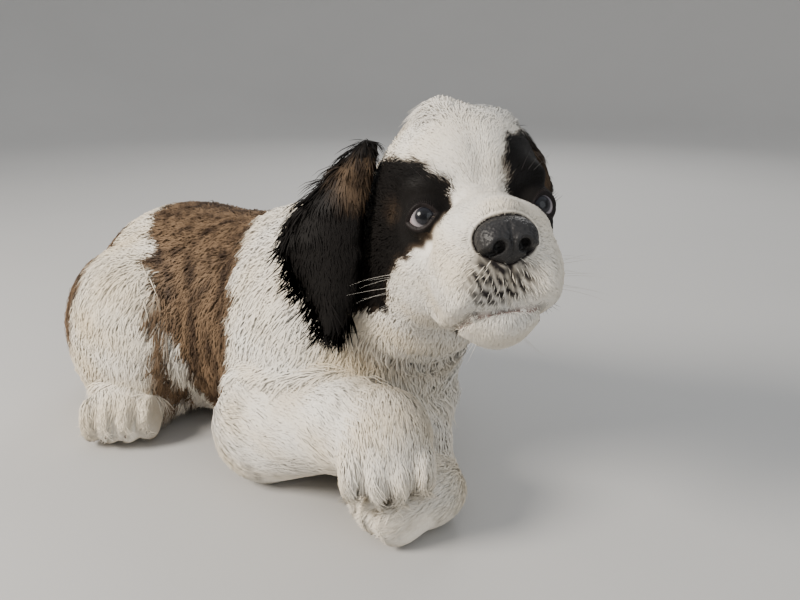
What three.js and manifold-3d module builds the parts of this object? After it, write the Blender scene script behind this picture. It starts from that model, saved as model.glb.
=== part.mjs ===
// A Saint Bernard puppy of about eight weeks, lying on its belly with one forepaw over the other
// and its head turned to its right and lifted. Millimetres, +Z up, +X towards the puppy's chest,
// +Y towards its left side. The body is one smooth field of named forms, meshed and then parted
// into its members by thin cuts; ears, tail, eyes, nose and claws are lofted, and the locks of
// the long places of the coat are fused to the member that they grow from.
import * as THREE from "three";
import { mergeVertices } from "three/addons/utils/BufferGeometryUtils.js";
import Module from "manifold-3d";

const wasm = await Module();
wasm.setup();

// Driving dimensions
const GAP = 0.35; // between touching members
const COAT_CORE = 9; // how far the trunk's core lies under the outline of its coat
const CROWN_CORE = 6;
const LEG_CORE = 3;
const TAIL_CORE = 6;
const EYE_RADIUS = 10.5;
const EYE_SPREAD = 33; // from the midline of the skull to the middle of an eye
const SKULL_HALF_WIDTH = 57;
const EAR_THICKNESS = 6;
const PAW_LENGTH = 84;
const PAW_WIDTH = 68;
const PAW_HEIGHT = 52;
const FLOOR_CLEARANCE = 0.8; // of the tips of locks
const PRESSED_COAT = 40; // height above which the coat stands at its full depth
const BODY_STEP = 25; // facet size on the trunk
const FACE_STEP = 9.6; // facet size on the face
const SKULL_STEP = 16; // facet size on the back of the skull
const LIMB_STEP = 18;
const TAIL_STEP = 15;
const PAW_STEP = 11;

const SIDES = [-1, 1]; // right and left

// Frames: a place and a turn, in degrees, of yaw, upward pitch and roll
function frame(place, [yaw, pitch, roll], parent) {
  const radians = [roll, -pitch, yaw].map(THREE.MathUtils.degToRad);
  const own = new THREE.Matrix4()
    .makeRotationFromEuler(new THREE.Euler(...radians, "ZYX"))
    .setPosition(...place);
  return parent ? parent.clone().multiply(own) : own;
}
const WORLD = frame([0, 0, 0], [0, 0, 0]);
const SKULL_FRAME_INVERSE = new THREE.Matrix4();
const HEAD = frame([164, -27, 200], [-45, 11, 3.5]);
SKULL_FRAME_INVERSE.copy(HEAD).invert();
const inHead = (p) => p.clone().applyMatrix4(SKULL_FRAME_INVERSE);
const smooth = THREE.MathUtils.smoothstep;
const at = (place, where = WORLD) => new THREE.Vector3(...place).applyMatrix4(where);
const along = (way, where = WORLD) => new THREE.Vector3(...way).transformDirection(where);

const offFloor = (p) => smooth(p.z, 4, PRESSED_COAT); // the coat is pressed flat at the floor

// A field of rounded forms, negative inside, that melt into one another
class Flesh {
  constructor(core = 0) {
    this.forms = [];
    this.coat = (p) => core * offFloor(p); // how far the core lies under the tips of the coat
  }

  egg(centre, radii, melt, where = WORLD, turn = [0, 0, 0]) {
    const inward = frame(centre, turn, where).invert();
    const [a, b, c] = radii;
    const p = new THREE.Vector3();
    const distance = (point) => {
      p.copy(point).applyMatrix4(inward);
      const near = Math.hypot(p.x / a, p.y / b, p.z / c);
      const slope = Math.hypot(p.x / (a * a), p.y / (b * b), p.z / (c * c));
      return (near * (near - 1)) / Math.max(slope, 1e-9);
    };
    this.forms.push({ distance, melt });
    return this;
  }

  limb(from, to, fromRadius, toRadius, melt, where = WORLD) {
    const start = at(from, where);
    const run = at(to, where).sub(start);
    const p = new THREE.Vector3();
    const distance = (point) => {
      p.copy(point).sub(start);
      const share = THREE.MathUtils.clamp(p.dot(run) / run.lengthSq(), 0, 1);
      return p.addScaledVector(run, -share).length() - THREE.MathUtils.lerp(fromRadius, toRadius, share);
    };
    this.forms.push({ distance, melt });
    return this;
  }

  depth(point) {
    let total = Infinity;
    for (const { distance, melt } of this.forms) {
      const own = distance(point);
      const shared = total === Infinity ? 0 : Math.max(melt - Math.abs(own - total), 0) / melt;
      total = Math.min(total, own) - (shared * shared * melt) / 4;
    }
    return total;
  }

  normal(point) {
    const e = 0.5;
    const slope = ["x", "y", "z"].map((axis) => {
      const ahead = point.clone();
      const behind = point.clone();
      ahead[axis] += e;
      behind[axis] -= e;
      return this.depth(ahead) - this.depth(behind);
    });
    return new THREE.Vector3(...slope).normalize();
  }

  // Where a ray from inside meets the core
  reach(from, way) {
    const p = from.clone();
    const left = () => -this.depth(p) - this.coat(p);
    for (let i = 0; i < 200 && left() > 0.05; i += 1) p.addScaledVector(way, Math.max(left(), 0.4) * 0.8);
    return p;
  }
}

// Grid lines along one axis: even steps from each stop to the next, of the size named between them
function ticks(...stops) {
  const lines = [stops[0]];
  for (let s = 1; s < stops.length; s += 2) {
    const [step, to] = [stops[s], stops[s + 1]];
    const from = lines[lines.length - 1];
    const count = Math.max(1, Math.round((to - from) / step));
    for (let i = 1; i <= count; i += 1) lines.push(from + ((to - from) * i) / count);
  }
  return lines;
}

// The closed surface where the field is zero, on a grid of the given ticks: one vertex in each
// cell that the surface crosses, pulled onto the surface, and one quad for each crossed edge.
// The outermost layer of the grid counts as outside, so that the surface closes there.
function surfaceOf(field, [xs, ys, zs], where = WORLD) {
  const depth = (p) => field.depth(p) + field.coat(p);
  const [nx, ny, nz] = [xs.length, ys.length, zs.length];
  const spot = (i, j, k) => (i * ny + j) * nz + k;
  const value = new Float32Array(nx * ny * nz);
  const edge = (i, j, k) => i * j * k === 0 || i === nx - 1 || j === ny - 1 || k === nz - 1;
  xs.forEach((x, i) => ys.forEach((y, j) => zs.forEach((z, k) => {
    value[spot(i, j, k)] = edge(i, j, k) ? 1 : depth(at([x, y, z], where));
  })));
  const corners = [0, 1, 2, 3, 4, 5, 6, 7].map((c) => [c >> 2, (c >> 1) & 1, c & 1]);
  const vertexOf = new Map();
  const points = [];
  for (let i = 0; i < nx - 1; i += 1) for (let j = 0; j < ny - 1; j += 1) for (let k = 0; k < nz - 1; k += 1) {
    const sum = [0, 0, 0];
    let count = 0;
    for (const a of corners) for (const axis of [0, 1, 2]) {
      if (a[axis]) continue;
      const b = a.slice();
      b[axis] = 1;
      const va = value[spot(i + a[0], j + a[1], k + a[2])];
      const vb = value[spot(i + b[0], j + b[1], k + b[2])];
      if (va < 0 === vb < 0) continue;
      const share = va / (va - vb);
      const cross = a.map((on, d) => (d === axis ? share : on));
      sum[0] += THREE.MathUtils.lerp(xs[i], xs[i + 1], cross[0]);
      sum[1] += THREE.MathUtils.lerp(ys[j], ys[j + 1], cross[1]);
      sum[2] += THREE.MathUtils.lerp(zs[k], zs[k + 1], cross[2]);
      count += 1;
    }
    if (!count) continue;
    const p = at(sum.map((s) => s / count), where);
    const off = THREE.MathUtils.clamp(depth(p), -1.5, 1.5);
    p.addScaledVector(field.normal(p), -off);
    vertexOf.set(spot(i, j, k), points.length / 3);
    points.push(p.x, p.y, p.z);
  }
  const faces = [];
  for (let i = 0; i < nx - 1; i += 1) for (let j = 0; j < ny - 1; j += 1) for (let k = 0; k < nz - 1; k += 1) {
    for (const axis of [0, 1, 2]) {
      const here = [i, j, k];
      const next = here.slice();
      next[axis] += 1;
      const inside = value[spot(...here)] < 0;
      if (inside === value[spot(...next)] < 0) continue;
      const [u, v] = [[1, 2], [2, 0], [0, 1]][axis];
      const quad = [[0, 0], [1, 0], [1, 1], [0, 1]].map(([du, dv]) => {
        const cell = here.slice();
        cell[u] -= du;
        cell[v] -= dv;
        return vertexOf.get(spot(...cell));
      });
      const [a, b, c, d] = inside ? quad : quad.reverse();
      faces.push(a, b, c, a, c, d);
    }
  }
  return new THREE.BufferGeometry()
    .setAttribute("position", new THREE.Float32BufferAttribute(points, 3))
    .setIndex(faces);
}

// A closed tube whose rings of points are given, first to last, with a point or a flat end
function loft(rings) {
  const points = [];
  const faces = [];
  const starts = rings.map((ring) => {
    const start = points.length / 3;
    ring.forEach((p) => points.push(p.x, p.y, p.z));
    return start;
  });
  const sides = Math.max(...rings.map((ring) => ring.length));
  const id = (r, s) => starts[r] + (rings[r].length === 1 ? 0 : s % sides);
  for (let r = 0; r < rings.length - 1; r += 1) for (let s = 0; s < sides; s += 1) {
    const [a, b, c, d] = [id(r, s), id(r, s + 1), id(r + 1, s + 1), id(r + 1, s)];
    if (a !== b) faces.push(a, b, c);
    if (c !== d) faces.push(a, c, d);
  }
  for (const [r, turn] of [[0, 1], [rings.length - 1, 0]]) {
    if (rings[r].length === 1) continue;
    for (let s = 1; s < sides - 1; s += 1) {
      const cap = [id(r, 0), id(r, s + 1), id(r, s)];
      faces.push(...(turn ? cap : cap.reverse()));
    }
  }
  return new THREE.BufferGeometry()
    .setAttribute("position", new THREE.Float32BufferAttribute(points, 3))
    .setIndex(faces);
}

// A round tube through points, with a radius at each
function tube(points, radii, sides) {
  const curve = new THREE.CatmullRomCurve3(points);
  const up = new THREE.Vector3(0.31, 0.17, 0.94);
  return loft(points.map((p, i) => {
    const share = i / (points.length - 1);
    const ahead = curve.getTangent(share);
    const right = new THREE.Vector3().crossVectors(ahead, up).normalize();
    const top = new THREE.Vector3().crossVectors(right, ahead);
    if (radii[i] === 0) return [p];
    return Array.from({ length: sides }, (_, s) => {
      const turn = (2 * Math.PI * s) / sides;
      return p.clone()
        .addScaledVector(right, Math.cos(turn) * radii[i])
        .addScaledVector(top, Math.sin(turn) * radii[i]);
    });
  }));
}

// Solids
function solidOf(geometry) {
  const bare = geometry.clone();
  for (const extra of ["normal", "uv"]) bare.deleteAttribute(extra);
  const merged = mergeVertices(bare, 1e-3);
  const solid = new wasm.Manifold(new wasm.Mesh({
    numProp: 3,
    vertProperties: merged.attributes.position.array,
    triVerts: new Uint32Array(merged.index.array),
  }));
  if (solid.volume() >= 0) return solid;
  const turned = merged.index.array.slice().reverse();
  return new wasm.Manifold(new wasm.Mesh({
    numProp: 3,
    vertProperties: merged.attributes.position.array,
    triVerts: new Uint32Array(turned),
  }));
}

// The largest closed piece of a solid
function largest(solid) {
  return solid.decompose().reduce((best, one) => (one.volume() > best.volume() ? one : best));
}

// Whether each edge has one face on each side
function isClosed(geometry) {
  const corners = geometry.index.array;
  const edges = new Set();
  for (let i = 0; i < corners.length; i += 3) for (let e = 0; e < 3; e += 1) {
    const edge = `${corners[i + e]} ${corners[i + ((e + 1) % 3)]}`;
    if (edges.has(edge)) return false;
    edges.add(edge);
  }
  return [...edges].every((edge) => edges.has(edge.split(" ").reverse().join(" ")));
}

// The surface of a solid without the very short edges that cuts leave behind, and with its own
// skin drawn in a little wherever two sheets of it touch
function surfaceWithoutSlivers(solid, shortest = 0.08) {
  const { vertProperties: xyz, triVerts } = solid.getMesh();
  const point = (v) => new THREE.Vector3().fromArray(xyz, v * 3);
  const target = Array.from({ length: xyz.length / 3 }, (_, v) => v);
  const find = (v) => (target[v] === v ? v : (target[v] = find(target[v])));
  let corners = Array.from(triVerts);
  for (let i = 0; i < corners.length; i += 3) for (let e = 0; e < 3; e += 1) {
    const [a, b] = [find(corners[i + e]), find(corners[i + ((e + 1) % 3)])];
    if (a !== b && point(a).distanceTo(point(b)) < shortest) target[Math.max(a, b)] = Math.min(a, b);
  }
  corners = corners.map(find);
  const seen = new Map();
  for (let i = 0; i < corners.length; i += 3) {
    const face = corners.slice(i, i + 3);
    if (new Set(face).size < 3) continue;
    const key = [...face].sort((a, b) => a - b).join();
    if (seen.has(key)) seen.delete(key);
    else seen.set(key, face);
  }
  const used = [...new Set([...seen.values()].flat())];
  const numberOf = new Map(used.map((v, i) => [v, i]));
  const geometry = new THREE.BufferGeometry()
    .setAttribute("position", new THREE.Float32BufferAttribute(used.flatMap((v) => point(v).toArray()), 3))
    .setIndex([...seen.values()].flat().map((v) => numberOf.get(v)));
  if (!isClosed(geometry) && shortest > 1e-3) return surfaceWithoutSlivers(solid, shortest / 2);
  geometry.computeVertexNormals();
  const { position, normal } = geometry.attributes;
  const taken = new Set();
  for (let i = 0; i < position.count; i += 1) {
    const p = new THREE.Vector3().fromBufferAttribute(position, i);
    const key = () => p.toArray().map((v) => v.toFixed(3)).join();
    while (taken.has(key())) p.addScaledVector(new THREE.Vector3().fromBufferAttribute(normal, i), -0.01);
    taken.add(key());
    position.setXYZ(i, p.x, p.y, p.z);
  }
  geometry.deleteAttribute("normal");
  return geometry;
}

const placed = (geometry, where) => geometry.applyMatrix4(where);
const ball = (centre, radii, where = WORLD, turn = [0, 0, 0], detail = 3) =>
  placed(new THREE.IcosahedronGeometry(1, detail).scale(...radii), frame(centre, turn, where));

// Half of space in front of a plane, as a large block
function halfSpace(point, normal, offset = 0) {
  const size = 900;
  const block = new THREE.BoxGeometry(size, size, size).translate(0, 0, size / 2 + offset);
  const turn = new THREE.Quaternion().setFromUnitVectors(new THREE.Vector3(0, 0, 1), normal.clone().normalize());
  return solidOf(block.applyQuaternion(turn).translate(point.x, point.y, point.z));
}

// The trunk, neck and head as one field of forms
function trunkForms() {
  const flesh = new Flesh()
    .egg([-148, 2, 86], [84, 92, 92], 40)
    .egg([-78, 0, 88], [105, 88, 94], 40)
    .egg([10, 0, 92], [98, 90, 98], 40)
    .egg([82, -4, 84], [60, 72, 84], 35);
  for (const side of SIDES) {
    flesh.egg([42, side * 58, 82], [60, 42, 78], 30);
    flesh.egg([-132, side * 76, 72], [74, 50, 79], 25);
  }
  return flesh
    .limb([30, 0, 128], [118, -8, 176], 70, 62, 30)
    .limb([95, -5, 110], [142, -26, 146], 58, 46, 30);
}

function headForms(flesh) {
  flesh
    .egg([-6, 0, 16], [66, SKULL_HALF_WIDTH, 64], 22, HEAD)
    .egg([28, 0, 24], [42, 44, 42], 18, HEAD)
    .egg([6, 0, -32], [50, 44, 38], 20, HEAD)
    .egg([70, 0, -20], [38, 34, 28], 12, HEAD)
    .limb([46, 0, 8], [92, 0, 1], 18, 15.5, 12, HEAD)
    .limb([30, 0, -50], [72, 0, -52], 25, 18, 10, HEAD)
    .egg([68, 0, -50], [33, 25, 19], 8, HEAD);
  for (const side of SIDES) {
    flesh.egg([16, side * 30, -22], [44, 27, 42], 18, HEAD);
    flesh.egg([48, side * 27, 27], [18, 18, 12], 10, HEAD);
    flesh.egg([78, side * 13, -4], [24, 19, 16], 8, HEAD);
    flesh.egg([78, side * 20, -27], [30, 18, 24], 10, HEAD);
  }
  return flesh;
}

// A paw along +X of its frame, with four toes and a claw at the end of each
const TOES = [-1.5, -0.5, 0.5, 1.5].map((place) => ({
  ahead: PAW_LENGTH * 0.27 - Math.abs(place) * 5,
  aside: place * PAW_WIDTH * 0.225,
}));
const TOE_RADII = [PAW_LENGTH * 0.21, PAW_WIDTH * 0.145, PAW_HEIGHT * 0.37];

function pawForms(flesh, where) {
  flesh.egg([-PAW_LENGTH * 0.1, 0, 0], [PAW_LENGTH * 0.42, PAW_WIDTH * 0.47, PAW_HEIGHT * 0.5], 10, where);
  for (const { ahead, aside } of TOES) flesh.egg([ahead, aside, -3], TOE_RADII, 3, where);
  return flesh;
}

function claw({ ahead, aside }, where, by) {
  const tip = ahead + TOE_RADII[0];
  const spine = [[tip - 9, -4], [tip - 4, -7], [tip - 1.5, -11]];
  const points = spine.map(([x, z]) => at([x, aside, z], where));
  return solidOf(tube(points, [2.3 + by, 1.9 + by, 0.3 + by], 4));
}

// Where each paw stands and how it is turned
const PAWS = {
  forepaw_right: frame([156, -98, 65], [-50, -35, 0]),
  forepaw_left: frame([160, -80, 24], [-118, 0, 0]),
  hindpaw_right: frame([-107, -107, 25], [-50, 0, 0]),
  hindpaw_left: frame([-62, 112, 25], [20, 0, 0]),
};

const LEG_AXES = {
  foreleg_right: [[40, -84, 44], [118, -88, 64]],
  foreleg_left: [[40, 70, 42], [97, 20, 40]],
};
const FORELEGS = {
  foreleg_right: new Flesh(LEG_CORE)
    .limb([40, -84, 44], [118, -88, 64], 46, 33, 20)
    .limb([118, -88, 64], [146, -92, 64], 33, 29, 15),
  foreleg_left: new Flesh(LEG_CORE)
    .limb([40, 70, 42], [97, 20, 40], 44, 34, 20)
    .limb([97, 20, 40], [150, -48, 34], 34, 27, 15),
};

const TAIL = [
  [[-212, 14, 62], 20],
  [[-240, 50, 34], 21],
  [[-246, 96, 20], 21],
  [[-222, 136, 17], 20],
  [[-182, 158, 15], 17],
  [[-146, 164, 12], 13],
];

const nodes = new THREE.Group();
nodes.name = "saint_bernard_puppy";
const solids = new Map();

const FLOOR = solidOf(new THREE.BoxGeometry(900, 900, 200).translate(0, 0, -100));
const FUR = { white: 0xe9e2d6, brown: 0x6a4a36, black: 0x17120f, nose: 0x141113, eye: 0x1f2530, claw: 0x4a403a };

// The field on its grid, and its twin that stands clear of it by the gap
function meshed(field, ticksOf, where = WORLD) {
  const own = surfaceOf(field, ticksOf, where);
  const twin = own.clone();
  const { position } = twin.attributes;
  const p = new THREE.Vector3();
  for (let i = 0; i < position.count; i += 1) {
    p.fromBufferAttribute(position, i);
    p.addScaledVector(field.normal(p), GAP);
    position.setXYZ(i, p.x, p.y, p.z);
  }
  return { solid: solidOf(own), clear: solidOf(twin) };
}

const grid = (low, high, step) => [0, 1, 2].map((axis) => ticks(low[axis], step, high[axis]));

// Trunk and head, meshed once coarse and once fine
// The core under the coat: deep on the trunk and neck, shallow on the crown, none on the face
const HEAD_MIDDLE = new THREE.Vector3(30, 0, -5);
const whole = headForms(trunkForms());
whole.coat = (p) => {
  const local = inHead(p);
  const ofHead = 1 - smooth(local.distanceTo(HEAD_MIDDLE), 92, 122);
  const ofCrown = CROWN_CORE * (1 - smooth(local.x + 0.35 * local.z, -12, 36));
  return THREE.MathUtils.lerp(COAT_CORE, ofCrown, ofHead) * offFloor(p);
};
const trunk = meshed(whole, grid([-256, -156, -26], [276, 156, 306], BODY_STEP));
const faceGrid = [
  ticks(-112, SKULL_STEP, 20, FACE_STEP, 124),
  ticks(-112, SKULL_STEP, -50, FACE_STEP, 50, SKULL_STEP, 112),
  ticks(-118, SKULL_STEP, -78, FACE_STEP, 40, SKULL_STEP, 100),
];
const face = meshed(whole, faceGrid, HEAD);

// Cutters, each with a twin that is larger by the gap
function cutter(make) {
  return { inside: solidOf(make(0)), clear: solidOf(make(GAP)) };
}
const HEAD_POINT = at([-20, 0, -80], HEAD);
const HEAD_WAY = along([0.88, 0, 0.48], HEAD);
const headCut = { inside: halfSpace(HEAD_POINT, HEAD_WAY), clear: halfSpace(HEAD_POINT, HEAD_WAY, -GAP) };
const THIGH_RADII = [86, 62, 84];
const THIGH_CENTRES = SIDES.map((side) => [-138, side * 108, 60]);
const NECK_POINT = new THREE.Vector3(70, 0, 150);
const NECK_WAY = new THREE.Vector3(0.62, -0.1, 0.78);
const thighCuts = THIGH_CENTRES.map((centre) => (
  cutter((g) => ball(centre, THIGH_RADII.map((r) => r + g), WORLD, [0, 0, 0], 2))
));
const neckCut = {
  inside: halfSpace(NECK_POINT, NECK_WAY),
  clear: halfSpace(NECK_POINT, NECK_WAY, -GAP),
};

// Eyes and nose
const eyePlace = (side) => [58, side * EYE_SPREAD, 8];
const eyes = SIDES.map((side) => ({
  own: solidOf(ball(eyePlace(side), Array(3).fill(EYE_RADIUS), HEAD, [0, 0, 0], 2)),
  clear: solidOf(ball(eyePlace(side), Array(3).fill(EYE_RADIUS + GAP), HEAD, [0, 0, 0], 2)),
  lid: solidOf(ball(eyePlace(side), Array(3).fill(EYE_RADIUS + 2.6), HEAD, [0, 0, 0], 2)),
}));
const noseField = new Flesh()
  .egg([103.5, 0, -4], [11.5, 16, 11], 6, HEAD)
  .egg([101.5, 0, -11], [10, 8, 8.5], 6, HEAD);
for (const side of SIDES) noseField.egg([104, side * 8, -6], [11, 8.8, 8.6], 4, HEAD);
const nose = meshed(noseField, grid([84, -24, -28], [122, 24, 16], 5.6), HEAD);

let leather = nose.solid;
for (const side of SIDES) {
  leather = leather
    .subtract(solidOf(ball([113.5, side * 6.8, -8], [7, 3.4, 3.4], HEAD, [0, 0, 0], 0)))
    .subtract(solidOf(ball([111, side * 11.6, -11], [6, 4, 1.7], HEAD, [side * 30, 0, 0], 0)));
}

const trunkless = trunk.solid.subtract(headCut.clear);
const neckAndFront = trunkless.intersect(neckCut.inside);
const behind = trunkless.subtract(neckCut.clear);
let head = face.solid.intersect(headCut.inside);
for (const { lid } of eyes) head = head.add(lid);
head = head.subtract(nose.clear);

// The opening between the lids, an almond along the way that the eye looks
function almond(side) {
  const half = 10;
  const high = 5.6;
  const shape = new THREE.Shape()
    .moveTo(-half, -1)
    .quadraticCurveTo(0, high * 2, half, 0)
    .quadraticCurveTo(0, -high * 2, -half, -1);
  const geometry = new THREE.ExtrudeGeometry(shape, { depth: 30, bevelEnabled: false, curveSegments: 6 });
  const turn = frame([0, 0, 0], [side * 28, 4, 0]);
  const upright = new THREE.Matrix4().makeBasis(
    new THREE.Vector3(0, 1, 0),
    new THREE.Vector3(0, 0, 1),
    new THREE.Vector3(1, 0, 0),
  );
  return solidOf(geometry.applyMatrix4(upright).applyMatrix4(turn).applyMatrix4(frame(eyePlace(side), [0, 0, 0], HEAD)));
}
SIDES.forEach((side, i) => {
  head = head.subtract(eyes[i].clear).subtract(almond(side));
});

// Lower jaw: all that lies under the line of the mouth and ahead of its corners
function jawBlock(by) {
  const shape = new THREE.Shape()
    .moveTo(54 - by, -58 + by)
    .quadraticCurveTo(82, -54 + by * 1.1, 98, -44 + by * 1.2)
    .lineTo(140, -19 + by * 1.2)
    .lineTo(140, -120)
    .lineTo(46 - by, -120);
  const geometry = new THREE.ExtrudeGeometry(shape, { depth: 160, bevelEnabled: false, curveSegments: 5 });
  const upright = new THREE.Matrix4().makeBasis(
    new THREE.Vector3(1, 0, 0),
    new THREE.Vector3(0, 0, 1),
    new THREE.Vector3(0, -1, 0),
  );
  return solidOf(geometry.applyMatrix4(upright).applyMatrix4(frame([0, 80, 0], [0, 0, 0], HEAD)));
}
const jawCut = { inside: jawBlock(0), clear: jawBlock(GAP) };

// A cord of the mouth's outline, from corner to corner round the front of the muzzle
function mouthCord(drop, radius) {
  const points = [-90, -64, -38, -13, 13, 38, 64, 90].map((turn) => {
    const angle = THREE.MathUtils.degToRad(turn);
    const way = [Math.cos(angle), Math.sin(angle), 0];
    const height = -57 + 17 * Math.cos(angle) ** 2 - drop;
    return whole.reach(at([66, 0, height], HEAD), along(way, HEAD));
  });
  return solidOf(tube(points, points.map((_, i) => (i % 7 === 0 ? radius * 0.4 : radius)), 5));
}
const mouthGroove = mouthCord(0.5, 1.7);
const jaw = head.intersect(jawCut.inside).add(mouthCord(5, 2.6).intersect(jawCut.inside));
solids.set("lower_jaw", [jaw.subtract(mouthGroove), FUR.white]);
solids.set("head", [head.subtract(jawCut.clear).subtract(mouthGroove), FUR.white]);
solids.set("neck", [neckAndFront, FUR.white]);
let torso = behind;
SIDES.forEach((side, i) => {
  const name = side < 0 ? "hindleg_right" : "hindleg_left";
  solids.set(name, [behind.intersect(thighCuts[i].inside), FUR.white]);
  torso = torso.subtract(thighCuts[i].clear);
});
solids.set("torso", [torso, FUR.brown]);
solids.set("nose", [leather, FUR.nose]);
SIDES.forEach((side, i) => solids.set(side < 0 ? "eye_right" : "eye_left", [eyes[i].own, FUR.eye]));

// Ears: a cupped flap from its root high on the skull to its rounded tip. Its plane stands off the
// side of the head by the lift, the near one spread by the ruff and the far one folded back.
const EAR_LIFT = { ear_right: [-1, 55], ear_left: [1, 14] };
const EAR_EDGES = [
  // height in the head's frame, front edge and rear edge across the flap
  [58, -3, 12],
  [42, -2, 26],
  [22, 3, 48],
  [2, 7, 66],
  [-18, 11, 60],
  [-36, 16, 52],
  [-52, 24, 44],
  [-62, 31, 40],
];
const EAR_FOLD = [-14, -3, 4, 5, 4, 3, 2, 1]; // how far each stage stands off the plane

function earPlane(side, lift) {
  const turn = THREE.MathUtils.degToRad(lift);
  const across = new THREE.Vector3(-Math.cos(turn), side * Math.sin(turn), 0);
  const out = new THREE.Vector3(Math.sin(turn), side * Math.cos(turn), 0);
  const root = new THREE.Vector3(6, side * (SKULL_HALF_WIDTH + 2), 0);
  const place = (along, off, height) => root.clone()
    .addScaledVector(across, along)
    .addScaledVector(out, off)
    .setZ(height)
    .applyMatrix4(HEAD);
  return { across, out, place };
}

function ear([side, lift]) {
  const { place } = earPlane(side, lift);
  const steps = 5;
  const rings = EAR_EDGES.map(([height, front, rear], i) => {
    const half = (rear - front) / 2;
    const thick = THREE.MathUtils.lerp(EAR_THICKNESS, 3, i / (EAR_EDGES.length - 1));
    const ring = [];
    for (const outer of [1, -1]) for (let k = 0; k < steps; k += 1) {
      const t = outer * ((2 * k) / steps - 1);
      const cup = EAR_FOLD[i] - 7 * t * t + (outer * thick * (1 - Math.abs(t) ** 3)) / 2;
      ring.push(place(front + half * (1 + t), cup, height));
    }
    return ring;
  });
  return loft(rings);
}
for (const [name, stance] of Object.entries(EAR_LIFT)) {
  solids.set(name, [solidOf(ear(stance)).subtract(face.clear).subtract(trunk.clear), FUR.black]);
}

// Legs and paws, each cut by the gap where it meets what it lies on
const pawFields = Object.fromEntries(Object.entries(PAWS).map(([name, where]) => [name, pawForms(new Flesh(), where)]));
const paws = Object.fromEntries(Object.entries(PAWS).map(([name, where]) => [
  name,
  meshed(pawFields[name], grid([-56, -48, -36], [56, 48, 36], PAW_STEP), where),
]));
const legs = {
  foreleg_right: meshed(FORELEGS.foreleg_right, grid([-14, -138, -10], [184, -30, 106], LIMB_STEP)),
  foreleg_left: meshed(FORELEGS.foreleg_left, grid([-12, -84, -10], [188, 124, 96], LIMB_STEP)),
};
const claws = Object.entries(PAWS).flatMap(([paw, where]) => TOES.map((toe, i) => ({
  name: `claw_${paw}_${i + 1}`,
  own: claw(toe, where, 0),
  clear: claw(toe, where, GAP),
})));
const order = [
  ["forepaw_left", paws.forepaw_left, []],
  ["forepaw_right", paws.forepaw_right, [paws.forepaw_left]],
  ["foreleg_right", legs.foreleg_right, [paws.forepaw_right, paws.forepaw_left, trunk, face]],
  ["foreleg_left", legs.foreleg_left, [paws.forepaw_left, paws.forepaw_right, legs.foreleg_right, trunk, face]],
  ["hindpaw_right", paws.hindpaw_right, [trunk]],
  ["hindpaw_left", paws.hindpaw_left, [trunk]],
];
for (const [name, { solid }, others] of order) {
  const own = others.reduce((rest, other) => rest.subtract(other.clear), solid);
  solids.set(name, [name.includes("paw") ? claws.reduce((rest, { clear }) => rest.subtract(clear), own) : own, FUR.white]);
}
for (const { name, own } of claws) solids.set(name, [own, FUR.claw]);

// Tail: laid on the floor round the left thigh, and parted at two of its bends
const tailField = new Flesh(TAIL_CORE);
TAIL.slice(1).forEach(([to, radius], i) => tailField.limb(TAIL[i][0], to, TAIL[i][1], radius, 14));
const tail = meshed(tailField, grid([-280, -20, -24], [-116, 196, 96], TAIL_STEP));
const tailCuts = [2, 4].map((i) => {
  const point = at(TAIL[i][0]);
  const way = at(TAIL[i + 1][0]).sub(at(TAIL[i - 1][0]));
  return { beyond: halfSpace(point, way), clear: halfSpace(point, way, -GAP) };
});
const tailWhole = tail.solid.subtract(trunk.clear);
solids.set("tail_base", [tailWhole.subtract(tailCuts[0].clear), FUR.brown]);
solids.set("tail_middle", [tailWhole.intersect(tailCuts[0].beyond).subtract(tailCuts[1].clear), FUR.brown]);
solids.set("tail_end", [tailWhole.intersect(tailCuts[1].beyond), FUR.white]);

// Locks of the coat: flat, tapered and bent along the lie of the hair. Each is rooted in the core
// of the member it grows from, and is left out where it would cross another member.
let seed = 20240;
function draw(low, high) {
  seed = (seed * 1103515245 + 12345) % 2147483648;
  return low + ((high - low) * seed) / 2147483648;
}

const tangent = (way, normal) => way.clone().addScaledVector(normal, -way.dot(normal)).normalize();

// Half width and ridge height at each stage from the root to the tip, as shares of the lock's own
const LOCK_STAGES = [[0.5, 0.8], [1, 1], [0.7, 0.7], [0, 0]];

function lock(field, root, lie, { length, width, thick, rise, sink }, extra) {
  const steps = LOCK_STAGES.length - 1;
  const p = root.clone().addScaledVector(field.normal(root), -sink);
  const rings = LOCK_STAGES.map(([wide, high], i) => {
    const normal = field.normal(p);
    const flat = tangent(lie(p), normal);
    const aside = new THREE.Vector3().crossVectors(flat, normal);
    const half = (width / 2) * wide + extra;
    const low = p.clone().addScaledVector(normal, -extra);
    const ring = i === steps ? [p.clone().addScaledVector(flat, extra)] : [
      low.clone().addScaledVector(aside, -half),
      p.clone().addScaledVector(normal, thick * high + extra),
      low.clone().addScaledVector(aside, half),
    ];
    const angle = THREE.MathUtils.degToRad(rise * (1 - (1.3 * i) / steps));
    p.addScaledVector(flat, (Math.cos(angle) * length) / steps);
    p.addScaledVector(normal, (Math.sin(angle) * length) / steps);
    return ring;
  });
  for (const point of rings.flat()) point.z = Math.max(point.z, FLOOR_CLEARANCE);
  return solidOf(loft(rings));
}

const ownerOf = (p) => {
  if (p.clone().sub(HEAD_POINT).dot(HEAD_WAY) > 0) return "head";
  if (p.clone().sub(NECK_POINT).dot(NECK_WAY) > 0) return "neck";
  const thigh = THIGH_CENTRES.findIndex((centre) => {
    const [x, y, z] = p.clone().sub(new THREE.Vector3(...centre)).toArray();
    return Math.hypot(x / THIGH_RADII[0], y / THIGH_RADII[1], z / THIGH_RADII[2]) < 1;
  });
  return thigh < 0 ? "torso" : ["hindleg_right", "hindleg_left"][thigh];
};

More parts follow.
